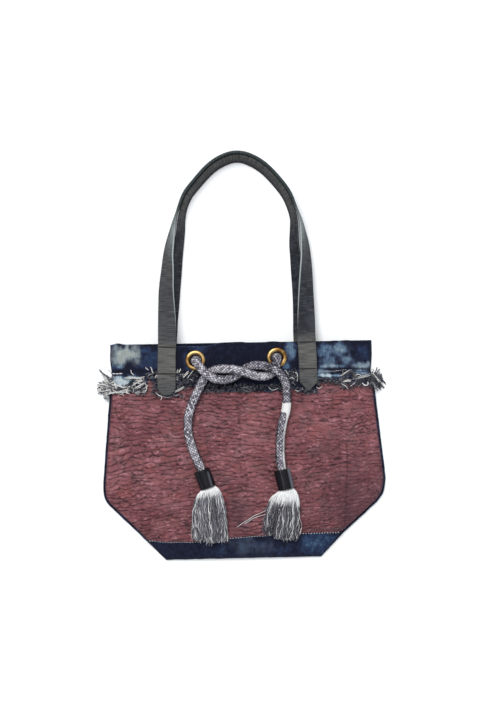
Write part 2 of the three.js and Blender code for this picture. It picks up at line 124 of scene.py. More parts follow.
# Ropes, from inside the bag through an eyelet and the knot to a collar
rope_diameter = 12.5
rope_right_route = [
    (29, -4.2, 12.4), (12, -4.7, 12.4), (-10, -5.4, 12.4), (-32, -6.3, 12.3), (-49, -7, 12.2),
    (-56.5, -7.3, 13.3), (-61.2, -7.5, 17), (-62.7, -7.5, 22.5), (-62.3, -8.2, 28),
    (-60.4, -11, 33.5), (-57, -15.4, 39), (-52.6, -20.6, 43.8), (-47.4, -25.8, 46.7),
    (-41.6, -29.9, 46.6), (-34.3, -32.9, 44), (-25.1, -34, 40), (-15.6, -32.3, 36.2),
    (-7.3, -28.7, 33.9), (-1, -23.7, 33.5), (6.6, -17.9, 34.3), (16.1, -14.6, 37.8),
    (27, -14.4, 42.8), (37.3, -16.2, 46.6), (47.7, -20.9, 47.7), (56.6, -29.6, 45),
    (61.2, -41.2, 39), (62.6, -54.8, 34), (61.7, -74.5, 32), (57, -92.5, 32.4),
    (54.2, -110, 33), (53.5, -127.5, 33.6), (53.9, -143, 35), (55.3, -154, 37.8),
    (57, -162.5, 38.2), (58.6, -170, 38.2),
]
rope_left_route = [
    (29.4, -4.2, 12.6), (36.5, -3.9, 12.6), (43.2, -3.6, 13.7), (47.9, -3.5, 17.4),
    (49.4, -3.5, 23), (49.3, -4.4, 28.4), (49, -7.8, 32.8), (48.4, -13.4, 34.3),
    (46, -20.2, 33.9), (40.6, -26, 33.4), (32, -29, 35.2), (21.4, -28.4, 39.4),
    (11, -25.8, 44.4), (0.5, -22.4, 47), (-10, -19.8, 46.4), (-21.5, -19.1, 42.2),
    (-32.6, -19.9, 36.6), (-42.4, -23.6, 33.2), (-49, -30.2, 32.7), (-54.6, -39.8, 33),
    (-60.7, -52.4, 33), (-67.2, -67, 31.8), (-71.8, -83.5, 31.6), (-72.7, -101.2, 32),
    (-69.6, -118.7, 32.6), (-63.6, -136, 33.6), (-58.4, -147.2, 35.8), (-54.9, -156, 38),
    (-52.2, -163, 38.2), (-49.8, -169.2, 38.2),
]
rope_sides = 52
rope_step = 0.8

# Braid: yarns each way, rope taken up by a crossing, how far it stands out, how far its low places
# lie under the rope's surface, and how many crossings pass before the light and dark ones repeat
braid_yarns = 9
braid_pitch = 4.6
braid_rise = 0.55
braid_sunk = 0.45
fleck_count = 997

# Each rope: seed of its yarns, usual shade, and where down it the paler stretch in the knot ends
rope_dye = {"rope_right": (11, 0.61, (150, 190)), "rope_left": (12, 0.76, (70, 100))}
undyed_from = 250

# Collars, from the middle of one end to the other, and the far end of each tassel
ends = {
    "left": ((-54, -157.6, 38.2), (-44.9, -181.8, 38.2), (-41.4, -257.5)),
    "right": ((55.8, -157, 38.2), (62, -183.9, 38.2), (53, -252.3)),
}
collar_radius = 11.6
collar_bore = 6.9
collar_sunk = 0.5

# Each collar: angle of its lapped seam and of its stitches, and the shade of the stitches
collar_seams = {"left": (2.5, 0.9, 0.12), "right": (2.75, 1.35, 0.42)}

# Tassels: strands in each, steps down a strand, and width and depth by the share of the way down
tassel_count = 700
tassel_steps = 15
tassel_width = ((0, 19), (0.05, 27), (0.12, 35), (0.25, 41), (0.5, 47), (0.8, 49), (1, 48))
tassel_depth = ((0, 12), (0.05, 17), (0.1, 18), (0.3, 17.5), (0.6, 16), (0.88, 11), (1, 6))

# Each tassel: seed, how ragged its end is, how far down it is white, and its grey strands' lightest
tassel_looks = {"left": (91, 0.07, 0.17, 0.76), "right": (92, 0.15, 0.32, 0.5)}

# Threads of the fringe: steps down a thread and down a strand, and radii of the thick threads on
# the left, which reach to a pixel across the photograph, and of the thin ones
fringe_steps = 7
strand_steps = 11
thick_until = 150
thick_thread = (0.44, 0.78)
thin_thread = (0.34, 0.62)

# Eyelets
eyelets = {"left": (-62.7, -7.5), "right": (49.4, -3.5)}
eyelet_bore = 7.95
eyelet_rim = 13.9
eyelet_hole = 10.3
eyelet_washer = [
    (8.4, -3.8), (12.2, -3.6), (12.4, -3.2), (12.2, -2.8), (9.25, -2.75), (9.2, -0.2),
]

# Sides of the eyelets and collars
lathe_sides = 72

# Straps: distance down each leg, how far the left and right legs stand out from the axis, height,
# and how far the face has turned from lying flat to facing out of the arch, in degrees
strap_axis = -5.4
strap_width = 25.4
strap_thickness = 4
strap_shoulder = 14.4
front_strap_leg = [
    (0, 96.5, 96.7, 26, 3.5), (19, 96, 95.4, 25.8, 5), (47, 96.3, 95, 25.6, 18),
    (68, 96.9, 94.7, 25.4, 29), (90, 97.2, 94.5, 24.8, 39), (119, 95.4, 94.6, 23.6, 51),
    (136, 94.6, 94.2, 22.8, 60), (153, 92.2, 92.8, 22, 67), (171, 88.7, 90, 21.2, 77),
    (189, 84.6, 86.2, 20.2, 86), (206.2, 79.1, 79.4, 19.4, 90), (222.8, 72.5, 72.8, 18.8, 90),
    (239, 60.3, 61.6, 18.3, 90), (258.9, 42.6, 43.2, 18, 90), (267.9, 31.3, 31.6, 18, 90),
    (274.3, 19.2, 19.4, 18, 90), (278, 7.2, 7.2, 18, 90),
]
front_strap_tips = ((-102, -55.5), (92.5, -48.5), 27, 3.5)
back_strap_leg = [
    (0, 96, 90.6, 2, 0), (22, 95.6, 90.2, 2.2, 0), (33, 94.8, 89.8, 4.2, 6),
    (47, 93.8, 89.4, 6.2, 18), (68, 91.2, 88.2, 8.3, 29), (90, 88.6, 86.2, 10.2, 39),
    (119, 84.7, 82.7, 11.8, 51), (136, 82.2, 80.4, 12.5, 60), (153, 80, 78.6, 12.9, 64),
    (171, 77.6, 78.4, 13, 69), (188, 76.2, 77.8, 13, 73), (203.9, 72.7, 73.1, 13, 75),
    (219.2, 66, 66.4, 13, 74), (234.2, 54.7, 55.7, 13, 72), (253.6, 37, 37.6, 13, 71),
    (261.3, 26.9, 27.2, 13, 70), (266.9, 16.1, 16.3, 13, 70), (270.2, 6.1, 6.1, 13, 70),
]
back_strap_tips = ((-102, -55.5), (87, -48.5), 2, 0)

# Share of a strap's width that is flat
strap_flat = 0.86

# Stitched grooves across each end of a strap, by their distance from its point
strap_grooves = (29.5, 66)
groove_width = 0.95
groove_depth = 0.6

# Width of the tables of random values behind noise and cells, and how far in they are read from
noise_table = 64
noise_start = 1000


# Numbers

def mix(low, high, share):
    return low + (high - low) * share


def smooth(value, start, end):
    share = np.clip((value - start) / (end - start), 0, 1)
    return share * share * (3 - 2 * share)


def stretch(value, start, full, fading, end):
    """1 over the middle of a stretch and 0 outside it."""
    return smooth(value, start, full) * (1 - smooth(value, fading, end))


def ridge(distance, width):
    """1 on a line, and less beside it along a bell curve."""
    return np.exp(-(distance / width) ** 2)


def ring_angles(sides):
    return np.arange(sides) * tau / sides


def from_photo(x, y):
    """The place on the bag of a pixel of the photograph."""
    return (x - origin_pixel[0]) * pixel, (origin_pixel[1] - y) * pixel


def noise(x, y, size, seed):
    """Smooth noise from -1 to 1 whose bumps are about as wide as size."""
    table = np.random.default_rng(seed).uniform(-1, 1, (noise_table, noise_table))
    u, v = np.asarray(x) / size + noise_start, np.asarray(y) / size + noise_start
    i, j = np.floor(u).astype(int), np.floor(v).astype(int)
    s, t = smooth(u - i, 0, 1), smooth(v - j, 0, 1)
    i, j, i_after, j_after = (number % noise_table for number in (i, j, i + 1, j + 1))
    low = mix(table[i, j], table[i_after, j], s)
    high = mix(table[i, j_after], table[i_after, j_after], s)
    return mix(low, high, t)


def noise_along(x, size, seed):
    """Noise that changes along one axis only."""
    return noise(x, x * 0, size, seed)


def rough_noise(x, y, size, seed):
    return (noise(x, y, size, seed) + 0.5 * noise(x, y, size / 2.1, seed + 1)
            + 0.25 * noise(x, y, size / 4.3, seed + 2)) / 1.4


def cells(x, y, wide, tall, seed):
    """Irregular cells: how far a place is from its cell's edge, from 0, and how level that edge is."""
    spots = np.random.default_rng(seed).uniform(0.08, 0.92, (noise_table, noise_table, 2))
    u, v = x / wide + noise_start, y / tall + noise_start
    i, j = np.floor(u).astype(int), np.floor(v).astype(int)
    near = np.full(x.shape, 9.0)
    second = np.full(x.shape, 9.0)
    near_u, near_v, second_u, second_v = (np.zeros(x.shape) for _ in range(4))
    for di in (-1, 0, 1):
        for dj in (-2, -1, 0, 1, 2):
            spot = spots[(i + di) % noise_table, (j + dj) % noise_table]
            su, sv = i + di + spot[..., 0], j + dj + spot[..., 1]
            far = np.hypot(u - su, v - sv)
            first = far < near
            later = ~first & (far < second)
            second = np.where(first, near, np.where(later, far, second))
            second_u = np.where(first, near_u, np.where(later, su, second_u))
            second_v = np.where(first, near_v, np.where(later, sv, second_v))
            near = np.where(first, far, near)
            near_u = np.where(first, su, near_u)
            near_v = np.where(first, sv, near_v)
    level = np.abs(near_v - second_v) / (np.hypot(near_u - second_u, near_v - second_v) + 1e-6)
    return second - near, level


def smooth_line(points, step):
    """Points a step apart on a smooth line through the given ones. Columns after z go along."""
    given = np.array(points, dtype=float)
    given = np.vstack([2 * given[0] - given[1], given, 2 * given[-1] - given[-2]])
    knots = np.sqrt(np.linalg.norm(np.diff(given[:, :3], axis=0), axis=1))
    share = np.linspace(0, 1, 24, endpoint=False)[:, None]
    dense = []
    for i in range(1, len(given) - 2):
        before, here, after, beyond = given[i - 1:i + 3]
        k0, k1, k2 = knots[i - 1:i + 2]
        leave = ((here - before) / k0 - (after - before) / (k0 + k1) + (after - here) / k1) * k1
        arrive = ((after - here) / k1 - (beyond - here) / (k1 + k2) + (beyond - after) / k2) * k1
        bend = 2 * here - 2 * after + leave + arrive
        turn = -3 * here + 3 * after - 2 * leave - arrive
        dense.append(here + leave * share + turn * share ** 2 + bend * share ** 3)
    dense = np.vstack([*dense, given[-2]])
    along = np.concatenate([[0], np.cumsum(np.linalg.norm(np.diff(dense[:, :3], axis=0), axis=1))])
    count = max(int(round(along[-1] / step)), 2)
    stations = np.linspace(0, along[-1], count + 1)
    return stations, np.array([np.interp(stations, along, column) for column in dense.T]).T


def unit(vectors):
    return vectors / (np.linalg.norm(vectors, axis=-1, keepdims=True) + 1e-12)


def sides_of_line(line, first):
    """Two directions across a line at each of its places, which turn as little as they can."""
    along = unit(np.gradient(line, axis=0))
    side = [unit(np.cross(first, along[0]))]
    for direction in along[1:]:
        last = side[-1]
        side.append(unit(last - direction * last.dot(direction)))
    return np.array(side), np.cross(along, side)


# Form of the bag

def rounded_outline():
    """A row for each millimetre down the left side, with the corners of the outline rounded."""
    rows = np.array(list(outline.values()), dtype=float)
    down = np.concatenate([[0], np.cumsum(np.hypot(*np.diff(rows[:, :2], axis=0).T))])
    fine = np.arange(0, down[-1] + 0.5)
    table = np.array([np.interp(fine, down, column) for column in rows.T])
    reach = np.arange(-12, 13)
    weights = np.exp(-0.5 * (reach / corner_rounding) ** 2)
    weights /= weights.sum()
    smoothed = []
    for column in table:
        start = 2 * column[0] - column[12:0:-1]
        end = 2 * column[-1] - column[-2:-14:-1]
        smoothed.append(np.convolve(np.concatenate([start, column, end]), weights, "valid"))
    return fine, np.array(smoothed), dict(zip(outline, down))


outline_stations, outline_rows, station = rounded_outline()


def outline_at(stations):
    return [np.interp(stations, outline_stations, column) for column in outline_rows]


def place_on_bag(stations, across):
    left_x, left_y, right_x, right_y, dip = outline_at(stations)
    share = (across + 1) / 2
    return mix(left_x, right_x, share), mix(left_y, right_y, share) - dip * (1 - across ** 2)


def find_on_bag(x, y):
    """The station and the share across the bag of a place on it."""
    middle = (outline_rows[1] + outline_rows[3]) / 2
    stations = np.interp(-y, -middle, outline_stations)
    for _ in range(10):
        left_x, left_y, right_x, right_y, dip = outline_at(stations)
        across = np.clip(2 * (x - left_x) / (right_x - left_x) - 1, -1, 1)
        line_y = mix(left_y, right_y, (across + 1) / 2) - dip * (1 - across ** 2)
        stations = np.clip(stations + line_y - y, 0, outline_stations[-1])
    return stations, across


def crown_at(y):
    above = mix(crown_height, crown_at_mouth, (y - crown_y) / (mouth_y - crown_y))
    share = np.clip((crown_y - y) / (crown_y - bottom_y), 0, 1)
    return np.where(y > crown_y, above, crown_height * np.sqrt(1 - share ** crown_fullness))


def back_lift(x, y):
    """How far the strap ends and the crushed fringe hold the back off the surface."""
    pads = [1 - smooth(np.abs(x - centre), 24, 40) for centre in strap_lift_centres]
    left, right = strap_lift_centres
    bridge = np.where((x > left) & (x < right), lift_between, 0)
    strap = np.maximum(strap_lift * np.maximum(*pads), bridge) * (1 - smooth(-66 - y, 0, 16))
    fringe = (1 - smooth(y, -20, -8)) * (1 - smooth(-58 - y, 0, 12))
    return strap + fringe_lift * fringe


def front_height(x, y):
    """Height of the outer side of the front wall."""
    x, y = np.asarray(x, dtype=float), np.asarray(y, dtype=float)
    stations, across = find_on_bag(x, y)
    _, left_y, _, right_y, _ = outline_at(stations)
    dome = crown_at((left_y + right_y) / 2) * np.sqrt(1 - across ** 2)
    return wall * 2 + gap + dome + back_lift(x, y) * np.abs(across) ** 6


def side_slant(stations):
    """How much wider than square a step in from each side is, left and right."""
    ahead, behind = outline_at(stations + 1), outline_at(stations - 1)
    slants = []
    for column in (0, 2):
        run = ahead[column] - behind[column]
        fall = ahead[column + 1] - behind[column + 1]
        slants.append(np.sqrt(1 + (run / (np.abs(fall) + 1e-6)) ** 2))
    return slants


def wall_grid(stations, count, inset, crowding):
    """Places in rows across the bag, set in from its sides, closer together near them."""
    share = np.linspace(-1, 1, count)
    across = np.sin(share * crowding) / math.sin(crowding)
    left_x, _, right_x, _, _ = outline_at(stations)
    left_slant, right_slant = side_slant(stations)
    low = -1 + 2 * inset * left_slant / (right_x - left_x)
    high = 1 - 2 * inset * right_slant / (right_x - left_x)
    across = mix(low[:, None], high[:, None], (across[None, :] + 1) / 2)
    return place_on_bag(np.broadcast_to(stations[:, None], across.shape), across)


def edge_distance(shape, spacing_rows, spacing_columns):
    """Distance of each place in a grid from the grid's edge."""
    rows = np.arange(shape[0])[:, None] * spacing_rows
    columns = np.arange(shape[1])[None, :] * spacing_columns
    return np.minimum(np.minimum(rows, rows[::-1]), np.minimum(columns, columns[:, ::-1]))


def rolled(distance, radius):
    """How far an edge rolls down at a distance from it."""
    share = np.clip(1 - distance / radius, 0, 1)
    return radius * (1 - np.sqrt(1 - share ** 2))


# Meshes

def make_piece(name, points, faces, finish, marks=None):
    """A piece from points in millimetres and lists of faces that have as many corners each."""
    mesh = bpy.data.meshes.new(name)
    points = np.asarray(points, dtype=np.float32).reshape(-1, 3) * millimetre
    corners = np.concatenate([np.asarray(some).ravel() for some in faces]).astype(np.int32)
    sizes = np.concatenate([np.full(len(some), np.asarray(some).shape[1]) for some in faces])
    starts = np.concatenate([[0], np.cumsum(sizes)[:-1]]).astype(np.int32)
    mesh.vertices.add(len(points))
    mesh.vertices.foreach_set("co", points.ravel())
    mesh.loops.add(len(corners))
    mesh.loops.foreach_set("vertex_index", corners)
    mesh.polygons.add(len(sizes))
    mesh.polygons.foreach_set("loop_start", starts)
    mesh.polygons.foreach_set("use_smooth", np.ones(len(sizes), dtype=bool))
    mesh.update(calc_edges=True)
    for mark, values in (marks or {}).items():
        attribute = mesh.attributes.new(mark, "FLOAT", "POINT")
        attribute.data.foreach_set("value", np.asarray(values, dtype=np.float32).ravel())
    mesh.materials.append(finish)
    piece = bpy.data.objects.new(name, mesh)
    bpy.context.collection.objects.link(piece)
    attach(piece, "root")
    return piece


def grid_quads(numbers):
    return np.stack([
        numbers[:-1, :-1], numbers[1:, :-1], numbers[1:, 1:], numbers[:-1, 1:],
    ], axis=-1).reshape(-1, 4)


def tube_faces(rings, sides, flipped):
    """Faces of a closed tube of rings of points, with a cap at each end."""
    numbers = np.arange(rings * sides).reshape(rings, sides)
    walls = grid_quads(np.concatenate([numbers, numbers[:, :1]], axis=1))
    caps = np.stack([numbers[0], numbers[-1, ::-1]])
    return [walls[:, ::-1], caps[:, ::-1]] if flipped else [walls, caps]


def sheet_faces(shape, kept):
    """Faces of a sheet with two sides of the same grid, only where its cells are kept."""
    top = np.arange(shape[0] * shape[1]).reshape(shape)
    lid = grid_quads(top)[kept.ravel()]
    base = lid[:, [0, 3, 2, 1]] + top.size
    framed = np.pad(kept, 1)
    low, high = slice(None, -1), slice(1, None)
    walls = []
    for beside, a, b in (
        (framed[:-2, 1:-1], (low, low), (low, high)),
        (framed[2:, 1:-1], (high, high), (high, low)),
        (framed[1:-1, :-2], (high, low), (low, low)),
        (framed[1:-1, 2:], (low, high), (high, high)),
    ):
        open_edge = kept & ~beside
        start, end = top[a][open_edge], top[b][open_edge]
        walls.append(np.stack([start, end, end + top.size, start + top.size], axis=-1))
    return np.concatenate([lid, base, *walls])


def make_sheet(name, top, under, finish, marks, kept=None):
    """A closed sheet of denim between two grids of points, without the cells that aren't kept."""
    if kept is None:
        kept = np.ones((top.shape[0] - 1, top.shape[1] - 1), dtype=bool)
    faces = sheet_faces(top.shape[:2], kept)
    points = np.concatenate([top.reshape(-1, 3), under.reshape(-1, 3)])
    used = np.unique(faces)
    fresh = np.full(len(points), -1)
    fresh[used] = np.arange(len(used))
    both = {mark: np.concatenate([values.ravel()] * 2)[used] for mark, values in marks.items()}
    return make_piece(name, points[used], [fresh[faces]], finish, both)


def make_tubes(name, lines, radii, sides, finish, marks):
    """Closed tubes of one shape: lines has a row of points for each, radii a thickness for each."""
    count, steps, _ = lines.shape
    along = unit(np.gradient(lines, axis=1))
    chord = unit(lines[:, -1] - lines[:, 0])
    aside = np.eye(3)[np.argmin(np.abs(chord), axis=1)]
    first = unit(np.cross(along, aside[:, None, :]))
    second = np.cross(along, first)
    angle = ring_angles(sides)
    ring = first[:, :, None] * np.cos(angle)[:, None] + second[:, :, None] * np.sin(angle)[:, None]
    points = lines[:, :, None] + ring * radii[..., None, None]
    numbers = np.arange(count * steps * sides).reshape(count, steps, sides)
    after = np.roll(numbers, -1, axis=2)
    quads = np.stack([numbers[:, :-1], after[:, :-1], after[:, 1:], numbers[:, 1:]], axis=-1)
    caps = np.concatenate([numbers[:, 0, ::-1], numbers[:, -1]])
    spread = {
        mark: np.repeat(np.broadcast_to(values, (count, steps)).ravel(), sides)
        for mark, values in marks.items()
    }
    return make_piece(name, points, [quads.reshape(-1, 4), caps], finish, spread)


def make_lathe(name, profile, place, finish, marks=None, ripple=None):
    """A ring turned from a closed profile of radius and height, put in place by a function."""
    profile = np.array(profile, dtype=float)
    angle = ring_angles(lathe_sides)
    radius = profile[:, None, 0] + (0 if ripple is None else ripple(profile, angle))
    height = np.broadcast_to(profile[:, None, 1], radius.shape)
    points = place(radius * np.cos(angle), radius * np.sin(angle), height)
    numbers = np.arange(len(points) * lathe_sides).reshape(-1, lathe_sides)
    around = np.concatenate([numbers, numbers[:1]])
    around = np.concatenate([around, around[:, :1]], axis=1)
    return make_piece(name, points, [grid_quads(around)[:, ::-1]], finish, marks)


# Finishes

def tint(red, green, blue):
    """A colour given as it looks on a screen, from 0 to 255."""
    parts = [part / 255 for part in (red, green, blue)]
    return (*[p / 12.92 if p <= 0.04045 else ((p + 0.055) / 1.055) ** 2.4 for p in parts], 1)


class Wire:
    """An output of a node, with the arithmetic that finishes use."""

    def __init__(self, finish, socket):
        self.finish = finish
        self.socket = socket

    def maths(self, operation, first, second=0, clamp=False):
        settings = {"operation": operation, "use_clamp": clamp}
        return self.finish.node("ShaderNodeMath", settings, {0: first, 1: second})

    def __add__(self, other):
        return self.maths("ADD", self, other)

    def __radd__(self, other):
        return self.maths("ADD", other, self)

    def __sub__(self, other):
        return self.maths("SUBTRACT", self, other)

    def __rsub__(self, other):
        return self.maths("SUBTRACT", other, self)

    def __mul__(self, other):
        return self.maths("MULTIPLY", self, other)

    def __rmul__(self, other):
        return self.maths("MULTIPLY", other, self)

    def clamped(self):
        return self.maths("ADD", self, 0, clamp=True)

    def sine(self):
        return self.maths("SINE", self)

    def between(self, low, high):
        """0 where the value is low or less, 1 where it is high or more."""
        return self.finish.node("ShaderNodeMapRange", {"interpolation_type": "SMOOTHSTEP"},
                                {0: self, 1: low, 2: high, 3: 0, 4: 1})


class Finish:
    """A material, built as expressions that end in its surface."""

    def __init__(self, name, color, roughness, **fixed):
        self.material = bpy.data.materials.new(name)
        self.material.use_nodes = True
        self.tree = self.material.node_tree
        self.surface = self.tree.nodes["Principled BSDF"]
        self.material.diffuse_color = color
        self.set(self.surface.inputs["Base Color"], color)
        self.set(self.surface.inputs["Roughness"], roughness)
        for socket, value in fixed.items():
            self.set(self.surface.inputs[socket.replace("_", " ")], value)

    def set(self, socket, value):
        if isinstance(value, Wire):
            self.tree.links.new(value.socket, socket)
        else:
            socket.default_value = value

    def node(self, kind, settings=None, sockets=None, output=0):
        made = self.tree.nodes.new(kind)
        for setting, value in (settings or {}).items():
            if setting == "stops":
                self.set_stops(made.color_ramp, value)
            else:
                setattr(made, setting, value)
        for socket, value in (sockets or {}).items():
            self.set(made.inputs[socket], value)
        return Wire(self, made.outputs[output])

    def set_stops(self, ramp, stops):
        while len(ramp.elements) < len(stops):
            ramp.elements.new(0.5)
        for element, (place, color) in zip(ramp.elements, stops):
            element.position = place
            element.color = color

    def mark(self, name):
        return self.node("ShaderNodeAttribute", {"attribute_name": name}, output="Fac")

    def place(self, scale=(1, 1, 1)):
        """The place on the object in millimetres, stretched by a scale."""
        here = self.node("ShaderNodeTexCoord", output="Object")
        factor = tuple(part / millimetre for part in scale)
        return self.node("ShaderNodeVectorMath", {"operation": "MULTIPLY"}, {0: here, 1: factor})

    def noise(self, place, scale, detail=2, rough=0.5):
        sockets = {"Vector": place, "Scale": scale, "Detail": detail, "Roughness": rough}
        return self.node("ShaderNodeTexNoise", {}, sockets)

    def part(self, vector, axis):
        return self.node("ShaderNodeSeparateXYZ", {}, {0: vector}, output=axis)

    def joined(self, x, y, z=0):
        return self.node("ShaderNodeCombineXYZ", {}, {0: x, 1: y, 2: z})

    def blend(self, low, high, share, how="MIX"):
        settings = {"data_type": "RGBA", "blend_type": how, "clamp_factor": True}
        return self.node("ShaderNodeMix", settings, {0: share, 6: low, 7: high}, output=2)

    def ramp(self, value, stops):
        return self.node("ShaderNodeValToRGB", {"stops": stops}, {0: value})

    def bump(self, height, distance, strength):
        sockets = {"Height": height, "Distance": distance * millimetre, "Strength": strength}
        return self.node("ShaderNodeBump", {}, sockets)

    def paint(self, **sockets):
        for socket, value in sockets.items():
            self.set(self.surface.inputs[socket.replace("_", " ")], value)
        return self.material


def leather_finish():
    """Burgundy leather, pressed into a crinkle, with crests paler from wear and a painted highlight, dark
    creases of painted shade, and painted shade between the tassels.
    """
    finish = Finish("burgundy_leather", tint(128, 83, 88), 0.62, Specular_IOR_Level=0.3)
    place = finish.place()
    patches = finish.noise(place, 0.03, 3, 0.6).between(0.36, 0.64)
    grey = finish.noise(place, 0.05, 3, 0.55).between(0.5, 0.66)
    brown = finish.noise(place, 0.036, 2, 0.55).between(0.52, 0.7)
    red = finish.noise(place, 0.044, 3, 0.6).between(0.54, 0.68)
    fine = finish.noise(finish.place((0.5, 1, 1)), 0.9, 2, 0.6)
    grain = finish.noise(place, 1.1, 2, 0.6)
    tone = finish.mark("tone")
    color = finish.blend(tint(118, 66, 71), tint(139, 84, 89), patches)
    color = finish.blend(color, tint(112, 80, 84), grey * 0.6)
    color = finish.blend(color, tint(108, 72, 66), brown * 0.4)
    color = finish.blend(color, tint(150, 78, 78), red * 0.5)
    # The crests are painted paler: partly wear and partly a painted highlight.
    color = finish.blend(color, tint(178, 122, 129), (finish.mark("crest") * 0.8 + tone * 0.25).clamped())
    color = finish.blend(color, tint(84, 46, 54), fine.between(0.54, 0.68) * 0.55)
    # Painted shade: the creases and the fold are coloured nearly black.
    color = finish.blend(color, tint(42, 16, 25), finish.mark("crease"))
    # Painted shade between the tassels, and the leather darker towards its lower right.
    color = finish.blend(color, tint(64, 38, 48), finish.mark("dusk") * 0.72)
    color = finish.blend(color, tint(46, 40, 56), finish.mark("rim"))
    roughness = 0.56 + grain * 0.2
    height = grain * 0.5 + fine
    return finish.paint(
        Base_Color=color, Roughness=roughness, Normal=finish.bump(height, 0.35, 0.5),
    )


def denim_finish(name):
    """Indigo twill, faded by its marks from navy through blue to nearly white or to cream."""
    finish = Finish(name, tint(35, 39, 56), 0.85, Specular_IOR_Level=0.15)
    place = finish.place()
    across = finish.part(place, 0)
    up = finish.part(place, 1)
    twill = ((across * 0.7 + up) * 5.2).sine()
    yarn = finish.noise(finish.place((1, 0.16, 1)), 0.62, 3, 0.65)
    weft = finish.noise(finish.place((0.2, 1, 1)), 0.8, 2, 0.6)
    mottle = finish.noise(place, 0.16, 4, 0.7)
    bleach = finish.mark("bleach")
    streaks = (yarn - 0.5) * 1.15 + (mottle - 0.5) * 0.9 + (weft - 0.5) * 0.35
    fading = bleach + streaks * (bleach * 0.75 + 0.13).clamped() + (mottle - 0.46) * 0.3
    color = finish.ramp(fading, [
        (0, tint(18, 21, 38)), (0.1, tint(30, 35, 57)), (0.26, tint(42, 59, 89)),
        (0.5, tint(86, 112, 138)), (0.74, tint(142, 160, 172)), (1, tint(190, 202, 210)),
    ])
    color = finish.blend(color, tint(168, 168, 152), finish.mark("cream") * 0.55)
    color = finish.blend(color, tint(12, 14, 26), twill.between(0.1, 1) * 0.2)
    height = twill * 0.3 + yarn + weft
    return finish.paint(Base_Color=color, Normal=finish.bump(height, 0.4, 0.5))


def thread_finish(name, dark, middle, light):
    """Cotton threads whose shade is marked on each, with a little change along them."""
    finish = Finish(name, middle, 0.9, Specular_IOR_Level=0.12)
    change = finish.noise(finish.place(), 0.5, 2, 0.6)
    shade = finish.mark("shade") + (change - 0.5) * 0.3
    color = finish.ramp(shade, [(0, dark), (0.5, middle), (1, light)])
    fibre = finish.noise(finish.place(), 3.2, 2, 0.7)
    return finish.paint(Base_Color=color, Normal=finish.bump(fibre, 0.2, 0.5))


def strap_finish(name, gloss):
    """Grey-black strap leather with fine lines across it, paler worn edges with a painted highlight, a
    painted sheen where it twists, and painted shade in its grooves and along the back strap's arch.
    """
    finish = Finish(name, tint(66, 70, 78), 0.55, Specular_IOR_Level=gloss)
    along = finish.mark("along")
    across = finish.mark("across")
    lines = finish.noise(finish.joined(along, across * 0.05), 0.8, 3, 0.75)
    cloud = finish.noise(finish.joined(along, across), 0.055, 3, 0.6)
    grain = finish.noise(finish.place(), 1.6, 2, 0.6)
    color = finish.blend(tint(32, 35, 43), tint(52, 55, 63), cloud.between(0.36, 0.66))
    # Dusty ends and a paler left leg, and painted light on the back strap's arch.
    color = finish.blend(color, tint(91, 90, 88), finish.mark("dusty"))
    color = finish.blend(color, tint(27, 42, 45), finish.mark("green") * 0.85)
    # A painted sheen where the strap twists.
    color = finish.blend(color, tint(140, 150, 148), finish.mark("sheen"))
    color = finish.blend(color, tint(18, 20, 26), lines.between(0.48, 0.64) * 0.7)
    color = finish.blend(color, tint(124, 124, 122), lines.between(0.46, 0.28) * 0.42)
    color = finish.blend(color, tint(16, 17, 24), finish.mark("shaded"))
    # The pale worn edge, painted only along the upper corner as a painted highlight.
    color = finish.blend(color, tint(170, 178, 178), finish.mark("edge") * 0.85)
    # Painted shade in the stitched grooves.
    color = finish.blend(color, tint(12, 13, 17), finish.mark("groove"))
    roughness = 0.55 + lines * 0.18
    height = lines + grain * 0.5
    return finish.paint(Base_Color=color, Roughness=roughness, Normal=finish.bump(height, 0.3, 0.6))


def collar_finish():
    """Smooth black leather with faint scuffs, a paler stretch round a lapped seam, and a painted sheen
    line.
    """
    finish = Finish("collar_leather", tint(20, 20, 28), 0.4, Specular_IOR_Level=0.26)
    place = finish.place()
    scuff = finish.noise(place, 0.25, 4, 0.7)
    grain = finish.noise(place, 1.4, 2, 0.6)
    color = finish.blend(tint(7, 7, 15), tint(28, 31, 42), scuff.between(0.54, 0.8) * 0.55)
    # A paler stretch by the right collar's seam, and a painted sheen line down the left collar.
    color = finish.blend(color, tint(108, 110, 120), finish.mark("worn") * 0.8)
    return finish.paint(
        Base_Color=color, Roughness=0.36 + grain * 0.2, Normal=finish.bump(grain, 0.25, 0.5),
    )


def rope_finish():
    """Braided cotton, each crossing lighter or darker as its yarn was dyed and with painted shade down its
    flanks and between crossings, and a few left white.
    """
    finish = Finish("braided_rope", tint(150, 146, 152), 0.88, Specular_IOR_Level=0.15)
    shade = finish.mark("shade")
    fibre = finish.noise(finish.place(), 1.9, 3, 0.7)
    color = finish.ramp(shade + (fibre - 0.5) * 0.34, [
        (0, tint(34, 33, 42)), (0.3, tint(86, 83, 94)), (0.6, tint(150, 146, 154)),
        (1, tint(222, 220, 226)),
    ])
    color = finish.blend(color, tint(240, 239, 238), finish.mark("undyed"))
    return finish.paint(Base_Color=color, Normal=finish.bump(fibre, 0.25, 0.6))


def brass_finish():
    """Polished brass, browner and duller where fingers and rope have touched it."""
    finish = Finish("polished_brass", tint(176, 140, 84), 0.34, Metallic=1)
    place = finish.place()
    wear = finish.noise(place, 0.1, 2, 0.5)
    color = finish.blend(tint(138, 98, 50), tint(190, 160, 108), wear.between(0.36, 0.64))
    return finish.paint(Base_Color=color, Roughness=0.3 + wear * 0.14)


